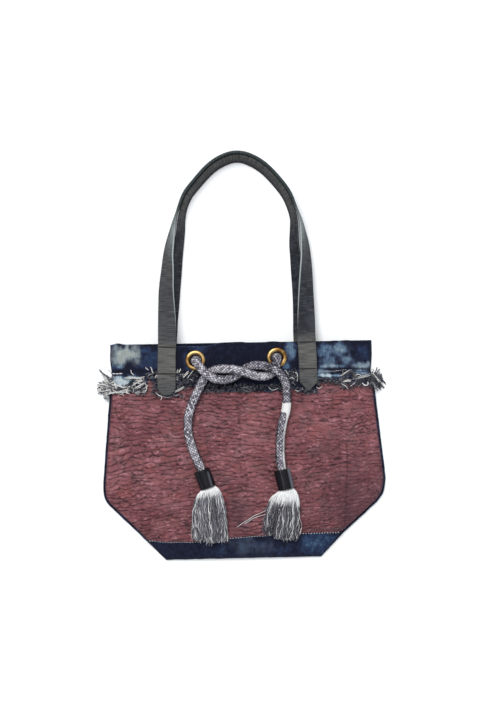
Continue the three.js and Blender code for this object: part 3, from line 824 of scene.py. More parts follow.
def floor_finish():
    """White paper on a softly lit table, which glows faintly so that the shadows on it are lightened."""
    finish = Finish("white_floor", (0.9, 0.9, 0.9, 1), 0.9, Specular_IOR_Level=0.1,
                    Emission_Color=(0.94, 0.98, 1, 1), Emission_Strength=0.2)
    grain = finish.noise(finish.place(), 0.02, 2, 0.5)
    color = finish.blend((0.9, 0.91, 0.92, 1), (0.91, 0.92, 0.93, 1), grain)
    return finish.paint(Base_Color=color)


# Camera, light and floor

def place_camera():
    data = bpy.data.cameras.new("camera")
    data.lens = camera_lens
    data.clip_end = camera_reach
    camera = bpy.data.objects.new("camera", data)
    camera.location = [part * millimetre for part in camera_place]
    bpy.context.collection.objects.link(camera)
    bpy.context.scene.camera = camera


def add_light(name, place, size, power, color):
    data = bpy.data.lights.new(name, "AREA")
    data.shape = "DISK"
    data.size = size
    data.energy = power
    data.color = color
    light = bpy.data.objects.new(name, data)
    light.location = place
    light.rotation_mode = "QUATERNION"
    light.rotation_quaternion = light.location.to_track_quat("Z", "Y")
    bpy.context.collection.objects.link(light)


def light_studio():
    scene = bpy.context.scene
    scene.view_settings.view_transform = "Standard"
    world = bpy.data.worlds.new("studio")
    world.use_nodes = True
    sky = world.node_tree.nodes["Background"]
    sky.inputs["Color"].default_value = sky_color
    sky.inputs["Strength"].default_value = sky_strength
    scene.world = world
    for name, facts in lights.items():
        add_light(name, *facts)


def lay_floor():
    bpy.ops.mesh.primitive_plane_add(size=floor_size, location=(0, 0, floor_height))
    floor = bpy.context.object
    floor.name = "floor"
    floor.data.materials.append(floor_finish())


# Ropes

def braid(around, along, seed):
    """Height of the braid at each place, and how much lighter or darker than the rope it is."""
    right_lay = around * braid_yarns / tau + along / braid_pitch
    left_lay = around * braid_yarns / tau - along / braid_pitch
    i, j = np.floor(right_lay).astype(int), np.floor(left_lay).astype(int)
    over = (i + j) % 2 == 0
    right_rise, left_rise = np.sin(math.pi * (right_lay - i)), np.sin(math.pi * (left_lay - j))
    crest = np.where(over, right_rise, left_rise)
    swell = np.where(over, left_rise, right_rise)
    random = np.random.default_rng(seed)
    tone = random.uniform(-0.09, 0.09, (2, braid_yarns))
    fleck = random.uniform(0, 1, (braid_yarns, fleck_count))
    yarn = np.where(over, tone[0][i % braid_yarns], tone[1][j % braid_yarns])
    cell = fleck[i % braid_yarns, (i - j) % fleck_count]
    crossing = np.where(cell < 0.2, -0.28, 0.34 * (cell - 0.5)) + np.where(over, 0.06, -0.08)
    return crest ** 0.6 * (0.55 + 0.45 * swell), yarn + crossing


def rope_shade(around, along, outward, height, yarn, usual, knot_end):
    """How light the rope is: painted shade down its flanks and in the low places between crossings, and
    paler over its stretch in the knot.
    """
    shade = usual + yarn + 0.9 * (height - 0.82) + 0.05 * noise(along, around * 3, 18, 13)
    level = outward[..., 2].max(axis=1, keepdims=True)
    # Painted shade down the flanks of level stretches.
    flank_shade = 1 - smooth(outward[..., 2], 0.1 * level, 0.85 * level)
    shade = shade - 0.5 * level ** 2 * flank_shade + 0.16 * stretch(along, 40, 70, *knot_end)
    return np.clip(shade, 0, 1)


def undyed_share(around, along, line, outward, height):
    """The white band below the knot, and the white streak that runs from it down one side."""
    y = line[:, None, 1] + 1.2 * noise(around * 6, along, 3, 5)
    band = stretch(y, -80, -78, -66, -64.5)
    narrowing = mix(0.25, 0.52, smooth(-y, 78, 92))
    streak = smooth(outward[..., 0], narrowing, narrowing + 0.16)
    fading = 1 - 0.4 * smooth(-y, 100, 112) + 0.4 * smooth(-y, 131, 138)
    streak = streak * smooth(-y, 76, 80) * fading * (0.85 + 0.15 * noise(around * 6, along, 4, 6))
    return (along > undyed_from) * np.clip(band + streak, 0, 1) * (0.75 + 0.25 * height)


def make_rope(name, route, finish):
    stations, line = smooth_line(route, rope_step)
    first, second = sides_of_line(line, np.array([0.0, 1, 0]))
    angle = ring_angles(rope_sides)
    outward = first[:, None] * np.cos(angle)[:, None] + second[:, None] * np.sin(angle)[:, None]
    around, along = np.broadcast_arrays(angle, stations[:, None])
    seed, usual, knot_end = rope_dye[name]
    height, yarn = braid(around, along, seed)
    undyed = np.zeros(height.shape)
    if name == "rope_right":
        undyed = undyed_share(around, along, line, outward, height)
    shade = rope_shade(around, along, outward, height, yarn, usual, knot_end)
    radius = rope_diameter / 2 - braid_sunk + braid_rise * height
    points = line[:, None] + outward * radius[..., None]
    faces = tube_faces(len(line), rope_sides, True)
    rope = make_piece(name + "_braid", points, faces, finish, {"shade": shade, "undyed": undyed})
    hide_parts(name)
    return rope, line


def declare_rope(line, exit_place):
    [part * millimetre for part in exit_place]
    (line[::5] * millimetre).tolist() + [(line[-1] * millimetre).tolist()]


# Leather front

def trim_line(x):
    """How far the seam above the trim lies from an even line across the bag."""
    places = [from_photo(px, 0)[0] for px, _ in trim_seam_shape]
    return np.interp(x, places, [rise for _, rise in trim_seam_shape])


def crinkle(x, y):
    """The pressed crinkle of the leather: its height, creases that carry painted shade, crests that carry
    wear and a painted highlight, and the tone of each puff.
    """
    left_rise = np.clip(x + 110, -70, 50) * smooth(-y, 100, 160)
    right_rise = np.clip(x - 110, -50, 30) * smooth(-y, 120, 170)
    waves = 3.2 * noise(x, y, 46, 21) + 1.7 * noise(x, y, 15, 22) + 0.9 * noise(x, y, 6, 31)
    flow = y - 0.14 * (left_rise + right_rise) + waves
    drift = x + 5 * noise(x, y, 24, 23) + 2 * noise(x, y, 7, 32)
    low_sides = smooth(-y, 140, 190) * smooth(np.abs(x), 50, 100)
    brick = np.clip(0.8 * low_sides + smooth(rough_noise(x, y, 40, 33), 0.15, 0.5), 0, 1)
    long_edge, long_level = cells(drift, flow, *long_cell, 24)
    short_edge, short_level = cells(drift, flow + noise(x, y, 9, 25), *short_cell, 26)
    broken = mix(0.2, 1, smooth(rough_noise(x, y * 2.2, 13, 34), -0.7, 0.05))
    long_crease = ridge(long_edge, mix(0.09, 0.2, long_level)) * (0.25 + 0.75 * long_level ** 1.5)
    short_crease = ridge(short_edge, mix(0.14, 0.22, short_level)) * (0.45 + 0.55 * short_level)
    short_crease = short_crease * mix(0.36, 0.72, brick) * smooth(rough_noise(x, y * 2, 13, 35), -0.7, 0.2)
    pits = smooth(noise(drift, flow * 2.1, 4.6, 36) + 0.7 * noise(drift, flow * 1.8, 2.6, 37), 0.45, 1.1)
    crease = np.clip(long_crease * broken * mix(1, 0.65, brick) + short_crease + 0.5 * pits, 0, 1)
    pillow = 1 - np.exp(-long_edge / 0.35) + 0.5 * (1 - np.exp(-short_edge / 0.3))
    puff = 0.7 * noise(drift, flow * 1.5, 6, 30) + noise(drift, flow * 1.3, 2.8, 38)
    height = 0.5 * pillow - 0.85 * crease + 0.2 * puff
    crest = smooth(puff, 0.15, 1.2) * (1 - crease)
    return height, crease, crest, noise(x, y, 13, 39)


def leather_shade_and_darkening(x, y):
    """Painted shade between the tassels, and how much darker the leather is towards its lower right
    corner.
    """
    middle_x, middle_y = from_photo(238, 516)
    between_tassels = ridge(x - middle_x, 17) * ridge(y - middle_y, 30)
    corner = smooth(x, 60, 165) * smooth(-y, 130, 215)
    right_side = smooth(x, 70, 150) * smooth(-y, 90, 160)
    return np.clip(0.95 * between_tassels + 0.45 * corner + 0.32 * right_side, 0, 1)


def rim_loop(numbers):
    """The numbers round the edge of a grid, once, from its first corner."""
    return np.concatenate([
        numbers[0, :-1], numbers[:-1, -1], numbers[-1, :0:-1], numbers[:0:-1, 0],
    ])


def rim_fan(fine, coarse):
    """Triangles from a fine rim to a coarse one, which has one corner for a few of the fine one's."""
    fan = []
    for i, corner in enumerate(coarse):
        after = coarse[(i + 1) % len(coarse)]
        for j in range(leather_steps):
            here = fine[i * leather_steps + j]
            there = fine[(i * leather_steps + j + 1) % len(fine)]
            fan.append((here, corner if j < leather_steps // 2 else after, there))
        fan.append((fine[i * leather_steps + leather_steps // 2], corner, after))
    return np.array(fan)


def make_leather_front(finish):
    rows, columns = (count * leather_steps + 1 for count in leather_cells)
    seam = station["trim_seam"]
    stations = np.linspace(station["band_seam"] + 0.6, seam + 0.4, rows)
    x, y = wall_grid(stations, columns, 3.0, 0.7)
    y = y + trim_line(x) * smooth(stations[:, None], seam - 34, seam)
    height, crease, crest, tone = crinkle(x, y)
    distance = edge_distance(x.shape, 0.9, 0.9)
    fold_x = from_photo(fold_pixel, 0)[0] + 2.5 * noise_along(y, 30, 20)
    fold = ridge(x - fold_x, 1.3) * stretch(-y, 112, 122, 226, 240)
    relief = height * smooth(distance, -1.5, 4) - rolled(distance, 1.4) - 0.7 * fold
    top = np.stack([x, y, front_height(x, y) - leather_sunk + relief], axis=-1)
    under = np.stack([x, y, front_height(x, y) - wall], axis=-1)[::leather_steps, ::leather_steps]
    # The creases and the fold carry painted shade, and the crests wear and a painted highlight.
    marks = {
        "crease": np.clip(crease + 0.45 * fold, 0, 1), "crest": crest, "tone": tone,
        "rim": 0.85 * np.exp(-distance / 1.1), "dusk": leather_shade_and_darkening(x, y),
    }
    hidden = np.zeros(under[..., 0].size)
    marks = {mark: np.concatenate([values.ravel(), hidden]) for mark, values in marks.items()}
    points = np.concatenate([top.reshape(-1, 3), under.reshape(-1, 3)])
    top_numbers = np.arange(x.size).reshape(x.shape)
    under_numbers = x.size + np.arange(hidden.size).reshape(under.shape[:2])
    fan = rim_fan(rim_loop(top_numbers), rim_loop(under_numbers))
    faces = [grid_quads(top_numbers), grid_quads(under_numbers)[:, ::-1], fan[:, ::-1]]
    piece = make_piece("leather_front", points, faces, finish, marks)
    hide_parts("front_panel")


# Denim walls

# Faded patches of the band: pixel of the photograph, half width and half height in pixels, how
# faded, and how cream
band_patches = [
    (126, 354, 12.5, 10.5, 0.66, 1), (120, 367, 4, 3, 0.5, 0.1), (114, 349, 7, 5, 0.28, 0),
    (121, 380.5, 13, 6.5, 0.95, 0.1), (132, 378, 8, 4, 0.9, 0.1), (139, 382, 9, 5, 0.74, 0.1),
    (146, 351, 9, 6, 0.24, 0), (150, 358, 17, 13, 0.2, 0), (115, 358, 9, 13, 0.25, 0),
    (192, 364, 8, 12, 0.24, 0), (199, 349, 9, 4, 0.16, 0), (291, 352, 6, 12, 0.46, 0.1),
    (286, 367, 6, 6, 0.42, 0), (325, 350, 9, 7, 0.4, 0.05), (339, 349, 9, 7, 0.5, 0.15),
    (331, 361, 9, 6, 0.4, 0.1), (345, 360, 10, 6, 0.42, 0.15), (334, 366, 12, 3, 0.66, 0.3),
    (361, 366, 11, 4, 0.62, 0.4), (326, 371.5, 12, 2.4, 0.62, 0.2), (330, 375.5, 15, 2.2, 0.95, 0),
    (358, 372, 14, 4, 0.62, 0.15), (301, 371, 5, 5, 0.26, 0), (362, 354, 8, 7, 0.18, 0),
]
trim_patches = [
    (247, 546, 24, 10, 0.14, 0.1), (222, 550, 8, 8, 0.1, 0), (314, 543, 16, 10, 0.26, 0),
    (283, 548, 9, 7, 0.12, 0), (142, 546, 6, 10, 0.12, 0), (335, 537, 7, 6, 0.12, 0),
]
back_patches = [
    (150, 430, 34, 26, 0.42, 0.2), (300, 400, 40, 22, 0.38, 0.1), (220, 500, 46, 22, 0.34, 0.05),
    (330, 490, 26, 26, 0.3, 0.1), (180, 470, 20, 14, 0.26, 0),
]


def faded(x, y, patches, seed):
    """How faded and how cream the denim is at each place."""
    bleach, cream = np.zeros(x.shape), np.zeros(x.shape)
    wobble = 0.5 * rough_noise(x, y, 11, seed) + 0.4 * rough_noise(x, y * 0.45, 4.5, seed + 5)
    for place_x, place_y, half_width, half_height, amount, creamy in patches:
        centre_x, centre_y = from_photo(place_x, place_y)
        reach = np.hypot((x - centre_x) / (half_width * pixel), (y - centre_y) / (half_height * pixel))
        share = 1 - smooth(reach + wobble, 0.2, 1.35)
        bleach = np.maximum(bleach, amount * share)
        cream = np.maximum(cream, creamy * share)
    return bleach, cream


# Lower edge of the torn flap of the band, in pixels of the photograph
flap_edge = [
    (104, 386), (130, 388), (146, 386), (149, 379.5), (154, 379.5), (157, 388), (161, 395),
    (168, 397.5), (176, 395), (181, 388), (190, 387), (200, 385), (206, 390), (228, 391.5),
    (250, 390.5), (270, 392), (284, 388), (292, 387), (297, 391), (307, 394.5), (316, 391), (320, 382),
    (338, 380), (345, 382.5), (376, 383),
]


def mouth_waves(x):
    """How far the front edge of the mouth dips below an even line."""
    step = 1.6 * (1 - smooth(x, -38, -29)) * smooth(x, -75, -40)
    corner = -1.3 * ridge(x + 171, 6)
    return step + corner + 0.7 * noise_along(x, 21, 50) + 0.35 * noise_along(x, 8, 53)


def seam_beside(past_seam, x):
    """The two stitched lines of the band's seam, which stop at the strap on the left."""
    lines = ridge(past_seam + 2.0, 0.7) + ridge(past_seam - 2.2, 0.7)
    return lines * (1 - smooth(np.abs(x), 88, 96) * (1 - smooth(np.abs(x), 106, 114)))


def band_height(x, y, mouth, past_seam, flap):
    """Height of the band's outer side, rippled by its seams and its hem."""
    ripples = 0.45 * noise(x, y * 0.35, 17, 43) + 0.3 * noise(x, y, 8, 44)
    puckers = 0.5 * np.sin(x * 0.9 + 3 * noise(x, y, 20, 45)) * np.exp(-np.abs(past_seam) / 4)
    lift = flap * (1.4 + 0.9 * noise(x, y, 9, 46) * smooth(past_seam, 3, 10))
    grooves = 0.4 * ridge(mouth - hem_line, 0.9) + 0.55 * seam_beside(past_seam, x)
    from_side = np.minimum(np.arange(x.shape[1]), np.arange(x.shape[1])[::-1])[None, :] * 1.0
    edges = rolled(mouth, mouth_roll) + rolled(from_side, 1.2)
    return front_height(x, y) + lift + ripples * 0.6 + puckers * 0.4 - grooves - edges


def make_band_front(finish):
    stations = np.concatenate([
        np.linspace(0, 3, 6, endpoint=False),
        np.arange(3, station["fringe_edge"] + 8, 1.2),
    ])
    x, y = wall_grid(stations, 300, 1.2, 0.6)
    mouth = stations[:, None] + 0 * x
    droop = 4 * (1 - smooth(np.abs(x + 92), 30, 60)) + mouth_waves(x)
    y = y - droop * (1 - smooth(mouth, 0, 12))
    past_seam = np.interp(x, (-178, 178), (-26, -20.5)) - y
    flap = smooth(past_seam, -1, 3.5)
    edge_x, edge_y = from_photo(*np.array(flap_edge).T)
    torn = np.interp(x, edge_x, edge_y) + 1.6 * noise(x, y, 3.1, 41) + 0.8 * noise(x, y, 1.2, 42)
    z = band_height(x, y, mouth, past_seam, flap)
    under_z = z - mix(wall - 0.2, 0.8, flap) + rolled(mouth, mouth_roll) * 0.9
    y = y + 0.5 * noise_along(x, 24, 40) * (1 - smooth(mouth, 0, 8))
    top = np.stack([x, y, z], axis=-1)
    under = np.stack([x, y, np.minimum(under_z, z - 0.25)], axis=-1)
    middle_x = (x[:-1, :-1] + x[1:, 1:]) / 2
    middle_y = (y[:-1, :-1] + y[1:, 1:]) / 2
    kept = middle_y > (torn[:-1, :-1] + torn[1:, 1:]) / 2
    for centre_x, centre_y in eyelets.values():
        kept &= np.hypot(middle_x - centre_x, middle_y - centre_y) > eyelet_hole
    bleach, cream = faded(x, y, band_patches, 47)
    worn = 0.26 * ridge(mouth, 1.4) * smooth(noise_along(x, 26, 48), -0.5, 0.3) * (x < -25)
    ragged = 0.4 * smooth(torn + 2.5 - y, 0, 2) * smooth(noise(x, y, 12, 49), -0.3, 0.4)
    # Along the seam's two stitched lines the denim is painted darker, as painted shade in their grooves.
    bleach = np.clip(bleach + worn - 0.5 * seam_beside(past_seam, x) + ragged, 0, 1)
    piece = make_sheet("denim_band_front", top, under, finish, {"bleach": bleach, "cream": cream}, kept)
    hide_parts("band_front")


def make_band_back(finish):
    stations = np.concatenate([
        np.linspace(0, 3, 5, endpoint=False), np.arange(3, station["band_seam"] - 0.2, 1.8),
    ])
    x, y = wall_grid(stations, 180, 0.8, 0.6)
    mouth = stations[:, None] + 0 * x
    lift = back_lift(x, y)
    edge = rolled(mouth, 1) * 0.9
    hem_groove = 0.5 * ridge(mouth - hem_line, 1.2)
    inner = lift + wall + 0.35 * noise(x, y * 0.4, 19, 51) - hem_groove - edge
    outer = lift + floor_gap + edge + hem_groove * 0.6
    top = np.stack([x, y, inner], axis=-1)
    under = np.stack([x, y, outer], axis=-1)
    bleach, cream = faded(x, y, back_patches, 52)
    marks = {"bleach": bleach * 0.6 + 0.02, "cream": cream}
    piece = make_sheet("denim_band_back", top, under, finish, marks)
    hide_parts("band_back")


def make_denim_back(finish):
    stations = np.arange(station["band_seam"] + 0.2, outline_stations[-1], 2.4)
    x, y = wall_grid(stations, 150, 1.0, 0.6)
    lift = back_lift(x, y)
    creases = 0.4 * noise(x, y, 34, 55) + 0.2 * noise(x, y, 12, 56)
    edge = rolled(edge_distance(x.shape, 2.4, 2.2), 0.8)
    top = np.stack([x, y, lift + wall + creases * 0.5 - edge], axis=-1)
    under = np.stack([x, y, lift + floor_gap + np.abs(creases) + edge], axis=-1)
    bleach, cream = faded(x, y, back_patches, 57)
    piece = make_sheet("denim_back", top, under, finish, {"bleach": bleach, "cream": cream})
    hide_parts("back_panel")


def make_trim(finish):
    seam = station["trim_seam"]
    last = outline_stations[-1] - 1.2
    stations = np.concatenate([
        np.linspace(seam - 1.6, seam + 1, 5, endpoint=False), np.arange(seam + 1, last, 1.3),
    ])
    x, y = wall_grid(stations, 220, 1.4, 0.85)
    y = y + trim_line(x) * (1 - smooth(stations[:, None], seam + 1, seam + 24))
    down = stations[:, None] - stations[0] + 0 * x
    puckers = 0.4 * np.sin(x * 1.1 + 3 * noise(x, y, 18, 61)) * np.exp(-np.abs(down - 2) / 3)
    ripples = 0.4 * noise(x, y, 15, 62)
    groove = 0.5 * ridge(down - 2.2, 0.7)
    over = 0.75 * (1 - smooth(down, 5, 9))
    edge = rolled(down, 1) + rolled(last - stations[:, None] + 0 * x, 1.6)
    front = front_height(x, y)
    z = front - 0.1 + over + 0.5 * ripples + 0.4 * puckers - groove - edge
    top = np.stack([x, y, z], axis=-1)
    under_z = np.maximum(np.minimum(front - wall, z - 0.6), front - wall - 0.1)
    under = np.stack([x, y, under_z], axis=-1)
    bleach, cream = faded(x, y, trim_patches, 63)
    piece = make_sheet("denim_trim", top, under, finish, {"bleach": bleach + 0.05, "cream": cream})
    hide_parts("bottom_trim")


def make_edge_roll(finish):
    """The rolled denim edge that joins front and back down both sides and along the bottom."""
    left_x, left_y, right_x, right_y, _ = outline_at(np.arange(0, outline_stations[-1] + 0.1, 1.0))
    left = np.stack([left_x, left_y], axis=-1)
    right = np.stack([right_x, right_y], axis=-1)
    share = np.linspace(0, 1, 110)[1:-1, None]
    route = np.concatenate([left, mix(left[-1], right[-1], share), right[::-1]])
    ahead = unit(np.gradient(route, axis=0))
    inward = np.stack([-ahead[:, 1], ahead[:, 0]], axis=-1)
    for _ in range(3):
        inward[1:-1] = unit(inward[:-2] + inward[1:-1] * 2 + inward[2:])
    centre = route + inward * 1.9
    x, y = centre.T
    height = 2.35 + back_lift(x, y) + 0.15 * noise(x, y, 9, 65)
    angle = ring_angles(roll_sides)
    wide = roll_radius * np.cos(angle)[None, :] * (1 + 0.12 * noise(x, y, 7, 67))[:, None]
    points = np.stack([
        x[:, None] + inward[:, None, 0] * wide,
        y[:, None] + inward[:, None, 1] * wide,
        height[:, None] + roll_radius * np.sin(angle)[None, :],
    ], axis=-1)
    faces = tube_faces(len(points), roll_sides, True)
    bleach = 0.03 + 0.1 * smooth(noise(points[..., 0], points[..., 1], 14, 66), 0.2, 0.8)
    make_piece("edge_roll", points, faces, finish, {"bleach": bleach, "cream": bleach * 0})


# Stitches

# Rows of stitches: name, route in pixels of the photograph, distance from one to the next, length,
# radius, lift, slot and shade
stitch_rows = [
    ("leather_stitches", [(262, 531), (303, 529.5), (346, 527.5)],
     3.4, 2.4, 0.36, 0.25, "burgundy_leather", 0.55),
    ("band_stitches_left", [(112.5, 373.6), (117, 373.7), (122.5, 373.6)],
     4.6, 4.4, 0.95, 0.9, "denim", 0.95),
    ("band_stitches_right", [(319, 371.8), (334, 371), (346, 369.5)],
     3.2, 2.8, 0.4, 0.8, "denim", 0.8),
]


def make_stitches(name, route, spacing, length, radius, lift, slot, shade, finish):
    """A row of stitches along a route of places on the front."""
    _, line = smooth_line([(x, y, 0) for x, y in route], spacing)
    random = np.random.default_rng(len(name))
    centre = line[:-1] + np.diff(line, axis=0) / 2
    ahead = unit(np.diff(line, axis=0))
    steps = np.linspace(-0.5, 0.5, 5)
    places = centre[:, None] + ahead[:, None] * (steps * length)[None, :, None]
    places[..., :2] += random.normal(0, 0.12, places.shape[:1] + (1, 2))
    rise = lift + radius * 0.6 * (1 - (2 * steps) ** 4)
    places[..., 2] = front_height(places[..., 0], places[..., 1]) + rise
    radii = radius * np.sqrt(1 - (1.7 * steps) ** 2)[None, :] * np.ones((len(centre), 1))
    shades = shade - random.uniform(0, 0.25, (len(centre), 1))
    make_tubes(name, places, radii, 6, finish, {"shade": shades})


def make_all_stitches(finish):
    seam_x, seam_y = place_on_bag(station["trim_seam"] - 0.6, np.linspace(-0.96, 0.96, 40))
    trim_route = list(zip(seam_x, seam_y + trim_line(seam_x)))
    make_stitches("trim_stitches", trim_route, 3.7, 1.6, 0.5, 0.7, "denim", 0.95, finish)
    for name, path, *facts in stitch_rows:
        make_stitches(name, [from_photo(*spot) for spot in path], *facts, finish)


# Fringe

# Threads of the fringe: left, right, top and bottom in pixels of the photograph, how many, darkest
# and lightest shade, usual length in millimetres, and which way they mostly run in degrees
fringe_zones = [
    (99, 113, 382, 393.5, 76, 0, 0.9, 10, 165), (111, 146, 386, 393.5, 150, 0, 0.9, 10, 12),
    (131, 146, 379, 388, 60, 0, 0.95, 9, 25), (104, 110, 393, 399, 16, 0.1, 0.5, 6, -100),
    (107, 114, 377, 384, 24, 0.2, 0.8, 7, 140), (146, 154, 372, 379, 22, 0, 0.5, 6, 30),
    (153, 161, 372, 394, 80, 0, 0.45, 7, -80), (158, 184, 394, 397.5, 50, 0, 0.5, 7, 8),
    (175, 186, 370, 389, 100, 0, 0.4, 8, -80), (186, 203, 371, 387, 130, 0, 0.3, 8, -110),
    (203, 287, 384, 391, 340, 0, 0.26, 8, -80), (205, 222, 389, 393, 26, 0.1, 0.45, 6, -40),
    (238, 256, 388, 392.5, 24, 0.1, 0.5, 6, -60), (284, 298, 370, 390, 120, 0, 0.5, 7, -90),
    (297, 318, 388, 394, 60, 0, 0.5, 6, 15), (315, 342, 377.5, 384.5, 170, 0, 0.46, 4.5, 0),
    (341, 355, 371, 389, 120, 0, 0.46, 9, -25), (354, 371, 376, 386, 120, 0, 0.42, 9, 10),
    (370, 382, 373, 388, 120, 0, 0.3, 10, -52),
]

# Strands that stand out: shade, how many side by side, and their path in pixels of the photograph
strands = [
    (0.35, 4, (100.2, 369.8), (104, 373.5), (108.8, 377), (110.5, 382)),
    (0.8, 3, (101.5, 373), (104.5, 378.5), (109, 383)), (0.85, 3, (97, 386), (103, 385), (110, 387)),
    (0.8, 3, (97, 390.5), (103, 391), (112, 389)), (0.75, 3, (104, 394), (112, 392), (128, 391)),
    (0.9, 2, (112, 384), (118, 385.5), (124, 387), (131, 386)), (0.95, 2, (115.2, 384), (116.8, 390)),
    (1, 2, (135.4, 388.5), (140, 386), (144.5, 383.4)),
    (0.85, 2, (133, 385.5), (139, 381.5), (145, 379.5)),
    (0.95, 2, (125, 377.5), (136, 377.8), (145, 377)), (0.95, 1, (128, 388), (127, 392), (130, 393)),
    (0.8, 2, (145, 383), (147, 386.5), (146, 391), (142.5, 392)),
    (0.05, 3, (125, 389), (131, 383), (137, 378.8)), (0.05, 3, (134, 391), (140, 388.5), (146, 384)),
    (0.9, 1, (119, 392), (125, 390), (131, 391)), (1, 1, (130.8, 370.2), (132, 372.5), (133.8, 375.5)),
    (0.75, 1, (146, 367), (147, 369), (148.8, 370.2)),
    (0.95, 1, (151.2, 366.8), (152.5, 370), (154.4, 373.4)),
    (0.6, 1, (148.5, 376), (150.5, 374.5), (153, 374)),
    (0.9, 2, (156.5, 378), (157, 375.5), (159.3, 375.6), (159.9, 379), (159, 382)),
    (0.85, 1, (155.8, 392.6), (159, 394.6), (162, 396.7), (161, 400)),
    (0.6, 1, (162, 396.8), (167, 397.6), (171, 397)),
    (0.75, 2, (174.5, 392.6), (179, 390.5), (184.3, 387.5)),
    (0.6, 1, (175.6, 395.4), (178, 395), (180.5, 394.8)),
    (0.7, 1, (177.2, 373.6), (177.3, 371.6), (177.8, 369.6)),
    (0.85, 1, (179.3, 373), (180.5, 370.6), (181.2, 368.8)),
    (0.8, 1, (180.5, 375), (183, 375.2), (184.3, 378)),
    (0.9, 1, (177.2, 380), (177, 377.6), (178, 376.4)),
    (1, 2, (184.8, 376.5), (187, 374), (189.5, 372)), (1, 1, (187, 379), (190, 374.8), (193, 371)),
    (0.7, 1, (188.8, 379.4), (191.5, 379), (193, 381.5)),
    (0.5, 1, (243, 388), (246, 391), (250, 391.6)), (0.4, 1, (207, 389), (211, 392), (214, 391)),
    (0.7, 1, (268, 387.5), (273, 390), (279, 388)), (0.55, 1, (240, 386.5), (247, 387.5), (251, 390)),
    (0.8, 1, (284, 370), (286, 371.5), (288.6, 374.8)),
    (0.9, 1, (292.5, 372), (296, 373), (297.6, 376), (296.8, 381.7)),
    (0.85, 1, (288.6, 378.7), (291, 378), (294, 378.9)),
    (0.85, 1, (294.8, 389.4), (296.8, 391.2), (298.6, 390.6)),
    (0.8, 1, (316, 386.5), (319, 388), (322, 386)), (0.95, 2, (343, 381.5), (347, 381), (351, 381)),
    (0.8, 2, (342, 383.5), (345.5, 386.5), (348, 388.5)),
    (0.25, 4, (345, 374.5), (349, 371.5), (353, 373), (353.5, 377)),
    (0.75, 2, (340, 376), (346, 371.8), (350.5, 369.6)),
    (0.95, 2, (361, 383), (363.5, 385), (367, 384.4), (366.5, 382)),
    (0.9, 1, (354, 375), (359, 374.6), (362, 376.8)),
    (0.7, 3, (352, 379), (358, 378), (364, 376.5), (370, 375)),
    (0.8, 1, (350, 386.5), (352.5, 384.8), (355, 382.4)), (0.85, 2, (372, 373), (377, 378), (382, 385)),
    (0.2, 4, (374, 373), (380, 377.5), (385, 383.5)), (0.1, 5, (372, 377), (378, 384), (380, 389)),
    (0.55, 4, (371, 383), (375, 387), (377, 391)),
    (0.25, 2, (374.5, 373), (375.5, 370), (376.5, 367.3)),
    (0.3, 2, (376.5, 373), (378, 370), (379.8, 368.3)),
]


def photo_course(path, steps):
    """A smooth course of a number of places through pixels of the photograph."""
    _, course = smooth_line([(*from_photo(*spot), 0) for spot in path], 0.5)
    return course[np.linspace(0, len(course) - 1, steps).round().astype(int)]


def drape_height(x, y):
    """Height of what the fringe lies on, which falls away past the sides of the bag."""
    left_x, _, right_x, _, _ = outline_at(find_on_bag(x, y)[0])
    beyond = np.maximum(np.maximum(left_x - x, x - right_x), 0)
    return np.maximum(front_height(x, y) - beyond * 0.55, 0.6)


def wandering_threads(random, start, heading, length, curl, steps):
    """Lines that set out from a place in a direction and bend at random as they go."""
    count = len(start)
    turn = random.normal(0, 1, (count, 1)) * curl + random.normal(0, 0.5, (count, steps)) * curl
    angle = heading[:, None] + np.cumsum(turn, axis=1) / steps * 2
    stride = length[:, None] / steps
    x = start[:, 0:1] + np.cumsum(np.cos(angle) * stride, axis=1)
    y = start[:, 1:2] + np.cumsum(np.sin(angle) * stride, axis=1)
    return x, y


def zone_threads(random, low_x, high_x, top, bottom, count, dark, light, usual, way):
    """Lines, shades and radii of the threads of one zone of the fringe."""
    px = random.uniform(low_x, high_x, count)
    py = random.uniform(top, bottom, count)
    start = np.stack(from_photo(px, py), axis=-1)
    flip = np.where(random.random(count) < 0.5, 0, math.pi)
    heading = math.radians(way) + flip + random.normal(0, 0.5, count)
    length = usual * random.uniform(0.5, 1.2, count)
    curl = random.uniform(0.5, 2.2, (count, 1))
    x, y = wandering_threads(random, start, heading, length, curl, fringe_steps)
    x = x - (x.mean(axis=1) - start[:, 0])[:, None]
    y = y - (y.mean(axis=1) - start[:, 1])[:, None]
    depth = random.beta(1.2, 1.4, (count, 1)) * 2.6
    arch = np.sin(np.linspace(0, math.pi, fringe_steps))[None, :] * random.uniform(0, 1.4, (count, 1))
    line = np.stack([x, y, drape_height(x, y) + 0.9 + depth + arch], axis=-1)
    tone = mix(dark, light, random.beta(0.8, 0.9, (count, 1)))
    # Threads that lie lower are painted darker and higher ones lighter, as painted shade.
    shade = tone + (depth - 1.3) * 0.1 + random.normal(0, 0.03, (count, fringe_steps))
    thick = thick_thread if high_x < thick_until else thin_thread
    return line, shade, random.uniform(*thick, (count, 1)) * np.linspace(1, 0.75, fringe_steps)[None, :]


def make_fringe_front(finish):
    random = np.random.default_rng(71)
    zones = [zone_threads(random, *zone) for zone in fringe_zones]
    lines, shades, radii = (np.concatenate(parts) for parts in zip(*zones))
    piece = make_tubes("fringe_front_threads", lines, radii, 5, finish,
                       {"shade": np.clip(shades, 0, 1)})
    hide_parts("fringe_front")


